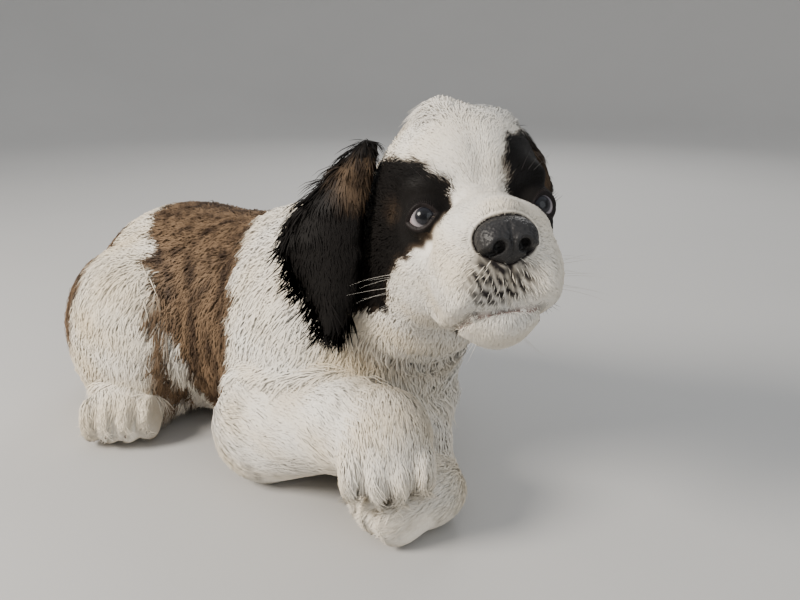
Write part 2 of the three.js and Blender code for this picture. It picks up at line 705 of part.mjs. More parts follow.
const overlaps = (a, b) => {
  const [one, two] = [a.boundingBox(), b.boundingBox()];
  return [0, 1, 2].every((axis) => one.min[axis] < two.max[axis] && two.min[axis] < one.max[axis]);
};

const grownLocks = new Map([...solids.keys()].map((name) => [name, []]));
function growLock(owner, field, root, lie, size) {
  if (root.z < 8) return;
  for (const trial of [1, 0.8, 0.6]) {
    const one = { ...size, length: size.length * trial, width: size.width * Math.sqrt(trial) };
    const clear = lock(field, root, lie, one, GAP);
    const crosses = [...solids].some(([name, [solid]]) => {
      if (name === owner) return false;
      const others = [solid, ...grownLocks.get(name)];
      return others.some((other) => overlaps(clear, other) && clear.intersect(other).volume() > 0);
    });
    if (crosses) continue;
    grownLocks.get(owner).push(lock(field, root, lie, one, 0));
    return;
  }
}

// Trunk: rings of locks from the rump to the ruff, which lie backwards and down
const TRUNK_LOCK = { length: 60, width: 32, thick: 3.4, rise: 24, sink: 4.5 };
const trunkLie = (p) => new THREE.Vector3(-1, 0, -0.35 - 0.9 * smooth(p.x, 20, 120));
const RING_STATIONS = 8;
const LOCKS_IN_RING = 11;
for (let station = 0; station < RING_STATIONS; station += 1) {
  const centre = new THREE.Vector3(THREE.MathUtils.lerp(-172, 104, station / (RING_STATIONS - 1)), 0, 88);
  for (let i = 0; i < LOCKS_IN_RING; i += 1) {
    const turn = THREE.MathUtils.degToRad(-28 + (236 * (i + (station % 2) / 2)) / (LOCKS_IN_RING - 0.5) + draw(-3, 3));
    const root = whole.reach(centre, new THREE.Vector3(0, -Math.cos(turn), Math.sin(turn)));
    const vary = draw(0.85, 1.12);
    const size = { ...TRUNK_LOCK, length: TRUNK_LOCK.length * vary, width: TRUNK_LOCK.width * vary };
    if (ownerOf(root) !== "head") growLock(ownerOf(root), whole, root, trunkLie, size);
  }
}

// Neck: one ring of locks behind the ears and under the throat
const neckAxis = NECK_WAY.clone().normalize();
const neckSide = new THREE.Vector3(0, -1, 0).projectOnPlane(neckAxis).normalize();
const neckTop = new THREE.Vector3().crossVectors(neckSide, neckAxis);
for (let i = 0; i < 11; i += 1) for (const ahead of [12, 34]) {
  const turn = (2 * Math.PI * (i + (ahead > 20 ? 0.5 : 0))) / 11;
  const way = neckSide.clone().multiplyScalar(Math.cos(turn)).addScaledVector(neckTop, Math.sin(turn));
  const root = whole.reach(NECK_POINT.clone().addScaledVector(neckAxis, ahead), way);
  if (ownerOf(root) === "neck") growLock("neck", whole, root, trunkLie, { ...TRUNK_LOCK, length: 46, width: 27 });
}

// Rump and breeches, round the hind end
for (let i = 0; i < 9; i += 1) {
  const turn = THREE.MathUtils.degToRad(-80 + 20 * i);
  for (const height of [0.62, 0.05]) {
    const way = new THREE.Vector3(-Math.cos(turn), Math.sin(turn), height).normalize();
    const root = whole.reach(new THREE.Vector3(-150, 0, 84), way);
    growLock(ownerOf(root), whole, root, trunkLie, { ...TRUNK_LOCK, length: 50, width: 28 });
  }
}

// Ruff and chest, hanging forwards and down under the throat
for (let row = 0; row < 3; row += 1) for (let i = 0; i < 5; i += 1) {
  const turn = THREE.MathUtils.degToRad(-62 + 31 * (i + (row % 2) / 2));
  const way = new THREE.Vector3(Math.cos(turn), Math.sin(turn), 0.1).normalize();
  const root = whole.reach(new THREE.Vector3(78, -8, 142 - 30 * row), way);
  const down = (p) => new THREE.Vector3(0.1, 0, -1).addScaledVector(trunkLie(p), 0.2);
  if (ownerOf(root) !== "head") growLock(ownerOf(root), whole, root, down, { ...TRUNK_LOCK, length: 52, width: 28 });
}

// Crown: soft tufts that stand up and lean back
const backwards = (p) => along([-1, 0, 0.25], HEAD);
const CROWN_LOCK = { length: 36, width: 19, thick: 2.4, rise: 13, sink: 3.5 };
for (const forward of [0.55, 0.05, -0.5]) for (const aside of [-0.72, -0.24, 0.24, 0.72]) {
  const way = along([forward + draw(-0.06, 0.06), aside, 0.9], HEAD).normalize();
  const root = whole.reach(at([-6, 0, 16], HEAD), way);
  growLock("head", whole, root, backwards, CROWN_LOCK);
}

// Cheeks and the back of the jowls
for (const side of SIDES) for (const [forward, height] of [[0.1, -0.75], [-0.35, -0.3]]) {
  const way = along([forward, side, height], HEAD).normalize();
  const root = whole.reach(at([6, 0, -20], HEAD), way);
  const lie = () => along([-0.75, 0, -0.65], HEAD);
  growLock("head", whole, root, lie, { ...CROWN_LOCK, rise: 18 });
}

// Forelegs, with feathers behind the elbow
const LEG_LOCK = { length: 42, width: 22, thick: 2.6, rise: 16, sink: 3 };
for (const [name, [elbow, wrist]] of Object.entries(LEG_AXES)) {
  const towards = at(wrist).sub(at(elbow)).normalize();
  const lie = () => towards.clone().add(new THREE.Vector3(0, 0, -0.45));
  for (let row = 0; row < 3; row += 1) for (let i = 0; i < 5; i += 1) {
    const centre = at(elbow).lerp(at(wrist), 0.06 + 0.27 * row);
    const turn = THREE.MathUtils.degToRad(-25 + 48 * (i + (row % 2) / 2));
    const across = new THREE.Vector3(towards.y, -towards.x, 0).normalize();
    const way = across.multiplyScalar(Math.cos(turn)).addScaledVector(new THREE.Vector3(0, 0, 1), Math.sin(turn));
    const root = FORELEGS[name].reach(centre, way.normalize());
    growLock(name, FORELEGS[name], root, lie, LEG_LOCK);
  }
}

// Tail plume, along the tail and outwards
const TAIL_LOCK = { length: 44, width: 18, thick: 3, rise: 22, sink: 4 };
TAIL.slice(1).forEach(([to], i) => {
  const from = at(TAIL[i][0]);
  const towards = at(to).sub(from).normalize();
  const across = new THREE.Vector3(towards.y, -towards.x, 0).normalize();
  const owner = i < 2 ? "tail_base" : i < 4 ? "tail_middle" : "tail_end";
  for (const turn of [-8, 52, 112, 172]) {
    const angle = THREE.MathUtils.degToRad(turn + (i % 2) * 18);
    const way = across.clone().multiplyScalar(Math.cos(angle)).addScaledVector(new THREE.Vector3(0, 0, 1), Math.sin(angle));
    const root = tailField.reach(from.clone().lerp(at(to), 0.4), way.normalize());
    growLock(owner, tailField, root, () => towards, TAIL_LOCK);
  }
});

// Ear fringe, out from the rear edge and down past the tip
for (const [name, [side, lift]] of Object.entries(EAR_LIFT)) {
  const plane = earPlane(side, lift);
  const flap = { normal: () => plane.out.clone().transformDirection(HEAD) };
  for (let stage = 2; stage < EAR_EDGES.length; stage += 1) {
    const [height, , rear] = EAR_EDGES[stage];
    const root = plane.place(rear - 8, EAR_FOLD[stage] - 6, height);
    const lie = () => along(plane.across.clone().multiplyScalar(0.75 - 0.1 * stage).setZ(-0.7).toArray(), HEAD);
    growLock(name, flap, root, lie, { length: 27, width: 15, thick: 2.2, rise: 0, sink: 0.6 });
  }
}

for (const [name, locks] of grownLocks) {
  const entry = solids.get(name);
  entry[0] = locks.reduce((whole, one) => whole.add(one), entry[0]);
}

// All that would reach under the floor is made flat there, and each member is one closed body
const box = new THREE.Box3();
const meshes = [];
for (const [name, [solid, colour]] of solids) {
  const geometry = surfaceWithoutSlivers(largest(solid.subtract(FLOOR)));
  const mesh = new THREE.Mesh(geometry, new THREE.MeshStandardMaterial({ color: colour, roughness: 0.8, metalness: 0 }));
  mesh.name = name;
  geometry.computeBoundingBox();
  box.union(geometry.boundingBox);
  meshes.push(mesh);
}
const middle = box.getCenter(new THREE.Vector3());
for (const mesh of meshes) {
  mesh.position.set(-middle.x, -middle.y, -box.min.z);
  nodes.add(mesh);
}

export default nodes;
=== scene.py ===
# A Saint Bernard puppy of about eight weeks, lying on its belly with its head up and turned, and
# one forepaw over the other. A life-size, still model: a soft plush coat of tufts over one skin,
# wet dark eyes, a black nose, whiskers and small claws, on a plain pale studio floor.
import math

import bmesh
import bpy
import numpy as np
from mathutils import Matrix, Vector


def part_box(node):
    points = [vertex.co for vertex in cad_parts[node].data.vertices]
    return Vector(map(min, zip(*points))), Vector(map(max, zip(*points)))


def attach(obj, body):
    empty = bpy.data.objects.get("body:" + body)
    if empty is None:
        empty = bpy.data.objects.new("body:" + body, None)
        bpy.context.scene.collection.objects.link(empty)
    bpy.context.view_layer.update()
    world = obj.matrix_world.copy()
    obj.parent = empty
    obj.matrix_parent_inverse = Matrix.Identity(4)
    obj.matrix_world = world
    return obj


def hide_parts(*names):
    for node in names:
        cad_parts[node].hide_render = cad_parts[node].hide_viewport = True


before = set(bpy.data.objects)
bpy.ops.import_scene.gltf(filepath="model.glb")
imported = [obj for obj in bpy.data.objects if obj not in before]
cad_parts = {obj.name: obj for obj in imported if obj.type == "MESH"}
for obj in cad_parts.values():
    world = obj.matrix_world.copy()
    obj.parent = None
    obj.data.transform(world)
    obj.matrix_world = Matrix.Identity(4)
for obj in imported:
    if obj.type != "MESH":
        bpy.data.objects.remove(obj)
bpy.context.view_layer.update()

# The camera
# It looks down a little from in front of the puppy's right shoulder, close by. Places are set out
# in millimetres in the puppy's own frame, with +X towards its chest, +Y towards its left and the
# floor at zero; the right eye carries them to the model.


def turned(yaw, pitch, roll):
    """The turn of a frame: roll, then upward pitch, then yaw, in degrees."""
    turns = ((yaw, "Z"), (-pitch, "Y"), (roll, "X"))
    whole = Matrix.Identity(3)
    for angle, axis in turns:
        whole = whole @ Matrix.Rotation(math.radians(angle), 3, axis)
    return np.array(whole)


class Stand:
    """A place and a turn that a part of the puppy is set out from."""

    def __init__(self, origin, turn):
        self.origin, self.axes = np.array(origin, float), turned(*turn)

    def out(self, p):
        return np.asarray(p, float) @ self.axes.T + self.origin

    def into(self, p):
        return (p - self.origin) @ self.axes

    def way(self, v):
        return np.asarray(v, float) @ self.axes.T


SIDES = {-1: "right", 1: "left"}
HEAD = Stand((164, -27, 200), (-45, 11, 3.5))
EYE = {side: np.array((58.0, side * 33.0, 8.0)) for side in SIDES}
eye_low, eye_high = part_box("eye_right")
SHIFT = np.array((eye_low + eye_high) / 2) * 1000 - HEAD.out(EYE[-1])


def metres(p):
    return (np.asarray(p, float) + SHIFT) / 1000


def in_scene(name, data):
    """A new object of the scene."""
    thing = bpy.data.objects.new(name, data)
    bpy.context.scene.collection.objects.link(thing)
    return thing


CAMERA_PLACE = (420.9, -460.0, 310.5)
CAMERA_AZIMUTH, CAMERA_PITCH = math.radians(35), math.radians(18)
camera_data = bpy.data.cameras.new("camera")
camera_data.lens = 35
camera_data.sensor_width = 36
camera = in_scene("camera", camera_data)
looking = Vector((
    -math.sin(CAMERA_AZIMUTH) * math.cos(CAMERA_PITCH),
    math.cos(CAMERA_AZIMUTH) * math.cos(CAMERA_PITCH),
    -math.sin(CAMERA_PITCH),
))
camera.location = Vector(metres(CAMERA_PLACE))
camera.rotation_euler = looking.to_track_quat("-Z", "Y").to_euler()
bpy.context.scene.camera = camera

# The body under the coat
# Skin over muscle and puppy fat, from the muzzle to the root of the claws: one closed surface,
# drawn as rounded forms that melt into one another and meshed where their field is zero. It lies
# under the outline of the coat by the depth that the hair has there.


def fade(x, low, high):
    t = np.clip((x - low) / (high - low), 0, 1)
    return t * t * (3 - 2 * t)


def size_of(v):
    return np.linalg.norm(v, axis=-1)


def egg(q, centre, radii):
    radii = np.asarray(radii, float)
    q = q - np.asarray(centre, float)
    near = size_of(q / radii)
    slope = size_of(q / radii**2)
    return near * (near - 1) / np.maximum(slope, 1e-9)


def limb(q, start, end, start_radius, end_radius):
    start, run = np.asarray(start, float), np.asarray(end, float) - start
    share = np.clip((q - start) @ run / (run @ run), 0, 1)
    radius = start_radius + (end_radius - start_radius) * share
    return size_of(q - start - share[..., None] * run) - radius


def melt(a, b, k):
    shared = np.maximum(k - np.abs(a - b), 0) / k
    return np.minimum(a, b) - shared * shared * k / 4


TRUNK = [  # centre, radii and how far each form melts into those before it
    ((-148, 2, 86), (84, 92, 92), 40),
    ((-78, 0, 88), (105, 88, 94), 40),
    ((10, 0, 92), (98, 90, 98), 40),
    ((82, -4, 84), (60, 72, 84), 35),
    ((42, -58, 82), (60, 42, 78), 30),
    ((-132, -76, 72), (74, 50, 79), 25),
    ((42, 58, 82), (60, 42, 78), 30),
    ((-132, 76, 72), (74, 50, 79), 25),
]
NECK = [((30, 0, 128), (118, -8, 176), 70, 62), ((95, -5, 110), (142, -26, 146), 58, 46)]
SKULL = [
    ((-6, 0, 16), (66, 57, 64), 22),
    ((28, 0, 24), (42, 44, 42), 18),
    ((6, 0, -32), (50, 44, 38), 20),
    ((70, 0, -20), (38, 34, 28), 12),
]
# Start, end, the radii there and the melt, then the same for forms with a centre
MUZZLE = [((46, 0, 8), (92, 0, 1), 18, 16.5, 12), ((30, 0, -50), (72, 0, -52), 25, 18, 10)]
LOWER_JAW = ((68, 0, -50), (33, 25, 19), 8)
CHEEKS = [
    ((16, 30, -22), (44, 27, 42), 18),
    ((48, 27, 27), (18, 18, 12), 10),
    ((78, 13, -3), (24, 20, 17), 8),
    ((78, 20, -27), (30, 18, 24), 10),
    ((52, 21, -40), (24, 14, 20), 12),
]


def head_and_trunk(p, q):
    total = egg(p, *TRUNK[0][:2])
    for centre, radii, k in TRUNK[1:]:
        total = melt(total, egg(p, centre, radii), k)
    for start, end, thick, thin in NECK:
        total = melt(total, limb(p, start, end, thick, thin), 30)
    for centre, radii, k in SKULL:
        total = melt(total, egg(q, centre, radii), k)
    for start, end, thick, thin, k in MUZZLE:
        total = melt(total, limb(q, start, end, thick, thin), k)
    centre, radii, k = LOWER_JAW
    total = melt(total, egg(q, centre, radii), k)
    for side in SIDES:
        for (x, y, z), radii, k in CHEEKS:
            total = melt(total, egg(q, (x, side * y, z), radii), k)
    return total


FORELEGS = {
    "right": [((40, -84, 44), (118, -88, 64), 46, 33), ((118, -88, 64), (146, -92, 64), 33, 29)],
    "left": [((40, 70, 42), (97, 20, 40), 44, 34), ((97, 20, 40), (150, -48, 34), 34, 27)],
}
PAWS = {
    "forepaw_right": Stand((156, -98, 65), (-50, -35, 0)),
    "forepaw_left": Stand((160, -80, 24), (-118, 0, 0)),
    "hindpaw_right": Stand((-107, -107, 25), (-50, 0, 0)),
    "hindpaw_left": Stand((-62, 112, 25), (20, 0, 0)),
}
PAW_LENGTH, PAW_WIDTH, PAW_HEIGHT = 84, 68, 52
TOES = [(PAW_LENGTH * 0.27 - abs(n) * 5, n * PAW_WIDTH * 0.225) for n in (-1.5, -0.5, 0.5, 1.5)]
TOE_RADII = (PAW_LENGTH * 0.21, PAW_WIDTH * 0.145, PAW_HEIGHT * 0.37)


def paw(p, stand):
    q = stand.into(p)
    pad = (PAW_LENGTH * 0.42, PAW_WIDTH * 0.47, PAW_HEIGHT * 0.5)
    total = egg(q, (-PAW_LENGTH * 0.1, 0, 0), pad)
    for ahead, aside in TOES:
        total = melt(total, egg(q, (ahead, aside, -3), TOE_RADII), 9)
    return total


def foreleg(p, side):
    (a, b, ra, rb), (c, d, rc, rd) = FORELEGS[side]
    return melt(limb(p, a, b, ra, rb), limb(p, c, d, rc, rd), 15)


TAIL = [  # points along the tail, which lies on the floor round the left thigh, and its radii
    ((-212, 14, 62), 20),
    ((-240, 50, 34), 21),
    ((-246, 96, 20), 21),
    ((-222, 136, 17), 20),
    ((-182, 158, 15), 17),
    ((-146, 164, 12), 13),
]


def tail(p):
    total = None
    for (start, thick), (end, thin) in zip(TAIL, TAIL[1:]):
        own = limb(p, start, end, thick, thin)
        total = own if total is None else melt(total, own, 5)
    return total


# The ears are cupped flaps from a root high on the skull to a rounded tip; the ruff spreads the
# near one and the far one lies back. Each row is a height in the head's frame, the front and rear
# edge across the flap, and how far the flap stands off its plane there.
EAR_LIFT = {-1: 55, 1: 14}  # degrees that each flap stands off the head
EAR_ROWS = np.array([
    (62, -2, 6, -16),
    (58, -3, 12, -14),
    (42, -2, 26, -3),
    (22, 3, 48, 4),
    (2, 7, 66, 5),
    (-18, 11, 60, 4),
    (-36, 16, 52, 3),
    (-52, 24, 44, 2),
    (-60, 30, 40, 1),
], float)[::-1]
EAR_THICKNESS = 5.0


def ear_axes(side):
    """Across the flap and out of it, and its root, in the head's frame."""
    lift = math.radians(EAR_LIFT[side])
    across = np.array((-math.cos(lift), side * math.sin(lift), 0))
    out = np.array((math.sin(lift), side * math.cos(lift), 0))
    return across, out, np.array((6.0, side * 59.0, 0.0))


def ear_place(q, side):
    """A point as a share across the flap from -1 to 1, and its distance from the flap's middle."""
    across, out, root = ear_axes(side)
    along, off, height = (q - root) @ across, (q - root) @ out, q[..., 2]
    front, rear, fold = (np.interp(height, EAR_ROWS[:, 0], EAR_ROWS[:, i]) for i in (1, 2, 3))
    share = (along - (front + rear) / 2) / np.maximum((rear - front) / 2, 1)
    return share, off - fold + 7 * np.clip(share, -1.3, 1.3) ** 2, along, front, rear, height


def ear(q, side):
    share, off, along, front, rear, height = ear_place(q, side)
    edge = np.maximum.reduce([front - along, along - rear, height - 60, -60 - height])
    flat = np.abs(off) - EAR_THICKNESS / 2
    rim = np.maximum(edge + 2, 0)
    return np.where(rim > 0, np.hypot(np.maximum(flat + 2, 0), rim) - 2, flat)


# The coat's depth over the skin: deep on the trunk and ruff, less on the crown and cheeks, very
# short on the muzzle and round the eyes, and pressed flat where the puppy lies on it.
def eye_distance(q):
    return np.minimum(*(size_of(q - EYE[side]) for side in SIDES))


HEAD_MIDDLE = (30, 0, -5)


def head_share(q, near=90, far=120):
    return 1 - fade(size_of(q - HEAD_MIDDLE), near, far)


def body_hair(p, q):
    of_head = head_share(q)
    face = fade(q[..., 0] + 0.3 * q[..., 2], 8, 52)
    muzzle = fade(q[..., 0], 62, 80)
    crown = 7 + 2 * fade(q[..., 2], 20, 60)
    on_head = (crown * (1 - face) + 3.2 * face) * (1 - muzzle) + 1.6 * muzzle
    on_head = 1.2 + (on_head - 1.2) * fade(eye_distance(q), 13, 30)
    return 11 * (1 - of_head) + on_head * of_head


def floor_share(p):
    return 0.12 + 0.88 * fade(p[..., 2], 3, 42)


# Folds of the face, as the distance that the skin moves in by
def mouth_height(x):
    return np.interp(x, (40, 54, 68, 78, 88, 98, 140), (-60, -58, -56, -53.3, -49.5, -44, -19))


def face_folds(q):
    x, y, z = q[..., 0], q[..., 1], q[..., 2]
    off_line = z - mouth_height(x)
    gape = fade(x, 44, 54) * (1 - fade(x, 118, 126))
    move = 2.4 * gape * np.exp(-((off_line / 1.3) ** 2))  # the line of the mouth
    move -= 1.0 * gape * np.exp(-(((off_line - 5.5) / 4) ** 2))  # upper lips
    move -= 0.6 * gape * np.exp(-(((off_line + 4.5) / 3) ** 2))  # lower lip
    ahead = fade(x, 84, 96) * fade(off_line, 0, 3) * (1 - fade(z, -18, -13))
    move += 2.0 * ahead * np.exp(-((y / 1.7) ** 2))  # the groove under the nose
    move += 1.2 * fade(x, 40, 60) * (1 - fade(x, 74, 86)) * fade(z, 0, 16) * np.exp(-((y / 6) ** 2))
    for side in SIDES:
        under = np.hypot((x - 66) / 9, (y - side * 40) / 9)
        move += 1.4 * np.exp(-((z + 8) / 3.5) ** 2) * np.exp(-(under**2))  # a fold under the eye
        corner = np.hypot((x - 54) / 9, (z + 58) / 6)
        move += 1.2 * np.exp(-(corner**2)) * fade(side * y, 12, 24)
    return move


EYE_RADIUS = 10.5
LID = 2.1  # how thick the lids are
EYE_OPENING = (9.3, 7.4)  # half its length and half its height
EYE_SLANT = 2.0  # how much lower its outer corner lies than its middle
SOCKET_TURN = (28, 4)  # degrees outwards and up


def eye_turn(side):
    """The turn of the eye's socket in the head."""
    outwards, up = SOCKET_TURN
    return turned(side * outwards, up, 0)


def gaze(q, side):
    """A point in the eye's own frame: ahead, towards the nose and up."""
    local = (q - EYE[side]) @ eye_turn(side)
    return local[..., 0], -side * local[..., 1], local[..., 2]


def opening(q, side):
    """How far a point lies outside the almond between the lids."""
    ahead, inward, up = gaze(q, side)
    long, high = EYE_OPENING
    share = np.clip(inward / long, -1.4, 1.4)
    top, low = high * (1 - share**2), -high * 0.86 * (1 - share**2)
    middle = EYE_SLANT * share
    return np.maximum(up - top - middle, low + middle - up) * 0.8


def lids(total, q):
    for side in SIDES:
        ball = size_of(q - EYE[side])
        total = melt(total, ball - EYE_RADIUS - LID, 5)
    return total


def open_lids(p):
    """Sinks the skin between the lids to behind the eyeball."""
    q = HEAD.into(p)
    for side in SIDES:
        off = q - EYE[side]
        far = size_of(off)
        ahead = gaze(q, side)[0]
        share = (1 - fade(opening(q, side), -0.7, 0.4)) * (ahead > 3) * (far < EYE_RADIUS + 9)
        aim = np.minimum(far, far + (EYE_RADIUS - 0.7 - far) * share)
        q = EYE[side] + off * (aim / far)[:, None]
    return HEAD.out(q)


def nose_form(q):
    total = melt(egg(q, (103.5, 0, -4), (11.5, 16, 11)), egg(q, (101.5, 0, -11), (10, 8, 8.5)), 6)
    for side in SIDES:
        total = melt(total, egg(q, (104, side * 8, -6), (11, 8.8, 8.6)), 4)
    return total


PART_NAMES = (
    "body foreleg_right foreleg_left forepaw_right forepaw_left "
    "hindpaw_right hindpaw_left tail ear_right ear_left"
).split()


def parts_of(p):
    """The field of the skin of each part of the body."""
    q = HEAD.into(p)
    floor = floor_share(p)
    outline = head_and_trunk(p, q)
    own = [outline + body_hair(p, q) * floor]
    own += [foreleg(p, side) + 6 * floor for side in ("right", "left")]
    own += [paw(p, PAWS[name]) + 3 * floor for name in PART_NAMES[3:7]]
    own.append(tail(p) + 9 * floor)
    own += [ear(q, side) for side in SIDES]
    return np.array(own), q


def skin_field(p, fine=True):
    own, q = parts_of(p)
    body, *rest = own
    near = size_of(q - (70, 0, -10)) < 85
    of_face = q[near]
    if fine:
        body[near] += face_folds(of_face)
    body[near] = np.maximum(lids(body[near], of_face), -(nose_form(of_face) + 0.4))
    right = melt(rest[0], rest[2], 12)
    left = melt(rest[1], rest[3], 12)
    total = melt(right, left, 2.5)
    total = melt(body, total, 20)
    for hindpaw in rest[4:6]:
        total = melt(total, hindpaw, 10)
    total = melt(total, rest[6], 12)
    for flap in rest[7:]:
        total = melt(total, flap, 4)
    return np.maximum(total, 0.4 - p[..., 2])


def in_pieces(field, p, count=150000):
    return np.concatenate([field(p[i : i + count]) for i in range(0, len(p), count)])


def grid_of(*axes):
    """Every combination of the values of three axes, one to a row."""
    return np.stack(np.meshgrid(*axes, indexing="ij"), -1).reshape(-1, 3)


def surface(field, low, high, step, block=8):
    """Vertices and quads of the surface where the field is zero, on an even grid. The field is
    only read in blocks that the surface may cross."""
    cells = [math.ceil((b - a) / step / block) * block for a, b in zip(low, high)]
    value = np.zeros([n + 1 for n in cells], np.float32)
    centres = grid_of(*[np.arange(n // block) for n in cells])
    middle = in_pieces(field, (centres * block + block / 2) * step + low)
    reach = step * block * 1.15
    offsets = grid_of(*[np.arange(block + 1)] * 3)
    for (i, j, k), m in zip(centres * block, middle):
        if abs(m) >= reach:
            value[i : i + block + 1, j : j + block + 1, k : k + block + 1] = m
    crossed = centres[np.abs(middle) < reach] * block
    grid = (crossed[:, None, :] + offsets[None]).reshape(-1, 3)
    value[tuple(grid.T)] = in_pieces(field, grid * step + low)
    count, total = np.zeros(cells, np.int32), np.zeros(cells + [3])
    here = lambda c: value[tuple(slice(c[d], c[d] + cells[d]) for d in range(3))]
    for a in np.ndindex(2, 2, 2):
        for axis in range(3):
            if a[axis]:
                continue
            b = list(a)
            b[axis] = 1
            va, vb = here(a), here(b)
            cross = (va < 0) != (vb < 0)
            share = np.where(cross, va / np.where(cross, va - vb, 1), 0)
            count += cross
            for d in range(3):
                total[..., d] += np.where(cross, a[d] + (share if d == axis else 0), 0)
    used = np.argwhere(count > 0)
    number = np.full(cells, -1)
    number[tuple(used.T)] = np.arange(len(used))
    points = (used + total[tuple(used.T)] / count[tuple(used.T)][:, None]) * step + low
    quads = []
    for axis, (u, v) in enumerate(((1, 2), (2, 0), (0, 1))):
        first = [slice(0, n) for n in value.shape]
        second = list(first)
        first[axis], second[axis] = slice(0, -1), slice(1, None)
        crossing = np.argwhere((value[tuple(first)] < 0) != (value[tuple(second)] < 0))
        inside = value[tuple(crossing.T)] < 0
        ring = []
        for du, dv in ((0, 0), (1, 0), (1, 1), (0, 1)):
            cell = crossing.copy()
            cell[:, u] -= du
            cell[:, v] -= dv
            ring.append(number[tuple(cell.T)])
        ring = np.stack(ring, 1)
        quads.append(np.where(inside[:, None], ring, ring[:, ::-1]))
    return points, np.concatenate(quads)


def slope_of(field, p, e=0.6):
    ways = np.array(((1, -1, -1), (-1, 1, -1), (-1, -1, 1), (1, 1, 1)), float)
    return sum(in_pieces(field, p + way * e)[:, None] * way for way in ways) / (4 * e)


def settle(field, p, most, times=2):
    """Points pulled onto the surface."""
    for _ in range(times):
        slope = slope_of(field, p)
        steep = np.maximum((slope**2).sum(1), 0.2)
        move = slope * (in_pieces(field, p) / steep)[:, None]
        size = np.linalg.norm(move, axis=1, keepdims=True)
        p = p - move * np.minimum(1, most / np.maximum(size, 1e-9))
    return p


SKIN_STEP = 3.1  # the size of its facets, halved twice round the eyes, mouth and nose
SKIN_BOX = np.array(((-282.0, -162, -6), (276, 192, 314)))
points, quads = surface(lambda p: skin_field(p, False), *SKIN_BOX, SKIN_STEP)
skin_mesh = bpy.data.meshes.new("skin")
skin_mesh.from_pydata(points.tolist(), [], quads.tolist())


def refine(mesh, chosen):
    """Halves the facets that have a chosen corner."""
    work = bmesh.new()
    work.from_mesh(mesh)
    corners = np.array([v.co for v in work.verts])
    mark = chosen(corners)
    edges = [e for e in work.edges if mark[e.verts[0].index] and mark[e.verts[1].index]]
    bmesh.ops.subdivide_edges(work, edges=edges, cuts=1, use_grid_fill=True)
    work.to_mesh(mesh)
    work.free()


def near_face(p):
    q = HEAD.into(p)
    return (q[:, 0] > 34) & (size_of(q - (60, 0, -10)) < 80)


def near_features(p):
    q = HEAD.into(p)
    mouth = (np.abs(q[:, 2] - mouth_height(q[:, 0])) < 6) & (q[:, 0] > 50)
    under_nose = (np.abs(q[:, 1]) < 5) & (q[:, 2] < -8) & (q[:, 2] > -50) & (q[:, 0] > 84)
    return ((eye_distance(q) < 17) & (q[:, 0] > 50)) | mouth | under_nose | (nose_form(q) < 3)


refine(skin_mesh, near_face)
refine(skin_mesh, near_features)


def values_of(items, name, width, kind=float):
    """A property of a mesh's items, so many values to a row."""
    values = np.empty(len(items) * width, kind)
    items.foreach_get(name, values)
    return values.reshape(-1, width)


def smooth(mesh):
    mesh.polygons.foreach_set("use_smooth", np.ones(len(mesh.polygons), bool))


points = open_lids(settle(skin_field, values_of(skin_mesh.vertices, "co", 3), 1.6, 3))
skin_mesh.vertices.foreach_set("co", metres(points).ravel())
skin_mesh.update()
smooth(skin_mesh)
skin = in_scene("skin", skin_mesh)

# The skin is unwrapped by its own shape. Each tuft of the coat is laid on this map in a small patch
# at its root's place.
bpy.context.view_layer.objects.active = skin
skin.select_set(True)
skin_mesh.uv_layers.new(name="OFBake")
bpy.ops.object.mode_set(mode="EDIT")
bpy.ops.mesh.select_all(action="SELECT")
bpy.ops.uv.smart_project(angle_limit=math.radians(62), island_margin=0.002)
bpy.ops.object.mode_set(mode="OBJECT")
skin.select_set(False)

# The markings, the same on skin and hair: how black and how brown the coat is at a place, with a
# painted brown sheen on the black between each eye and ear. A line is a height and where the border
# lies there, from the rump forwards.
SADDLE_FRONT = (
    (0, -12), (50, -5), (74, 18), (104, 13), (122, 11), (136, 13), (151, 5), (164, 3), (175, -5),
    (185, -21), (200, -45),
)
SADDLE_BACK = (
    (0, -81), (73, -81), (106, -82), (131, -89), (156, -112), (168, -142), (180, -152),
    (200, -158),
)
RUMP_FRONT = (
    (60, -168), (83, -153), (103, -149), (133, -144), (152, -158), (170, -178), (190, -196),
)
WEDGE_BACK = ((0, -76), (19, -74), (40, -66), (64, -66), (87, -69), (105, -72))
WEDGE_FRONT = ((0, -22), (12, -30), (32, -50), (56, -55), (75, -56), (91, -61), (105, -71))
FACE_PATCH = {  # degrees round the head from the front, and height, of each dark patch
    -1: (
        (79, 46), (52, 45), (25, 39), (17, 27), (15, 18), (20, 8), (28, -4), (44, -14), (68, -28),
        (90, -50), (112, -50), (122, 0), (112, 42),
    ),
    1: (
        (79, 50), (50, 53), (19, 50), (12, 33), (10, 19), (16, 9), (26, -3), (44, -12), (68, -20),
        (90, -26), (112, -30), (122, 0), (112, 45),
    ),
}
TURN_LENGTH = 0.92  # millimetres to a degree round the face


def wobble(p, scale, seed):
    """A smooth random field about zero, within about one."""
    draw = np.random.default_rng(seed)
    total = 0
    for _ in range(5):
        way = draw.normal(size=3)
        way *= draw.uniform(0.7, 1.5) * 2 * math.pi / scale / np.linalg.norm(way)
        total = total + np.sin(p @ way + draw.uniform(0, 2 * math.pi))
    return total / 2.4


def inside_outline(u, v, outline):
    """Distance inside a closed outline, negative outside it."""
    nearest = np.full(u.shape, 1e9)
    inside = np.zeros(u.shape, bool)
    for (ax, ay), (bx, by) in zip(outline, outline[1:] + outline[:1]):
        dx, dy = bx - ax, by - ay
        share = np.clip(((u - ax) * dx + (v - ay) * dy) / (dx * dx + dy * dy), 0, 1)
        nearest = np.minimum(nearest, np.hypot(u - ax - share * dx, v - ay - share * dy))
        if dy:
            inside ^= ((ay > v) != (by > v)) & (u < dx * (v - ay) / dy + ax)
    return np.where(inside, nearest, -nearest)


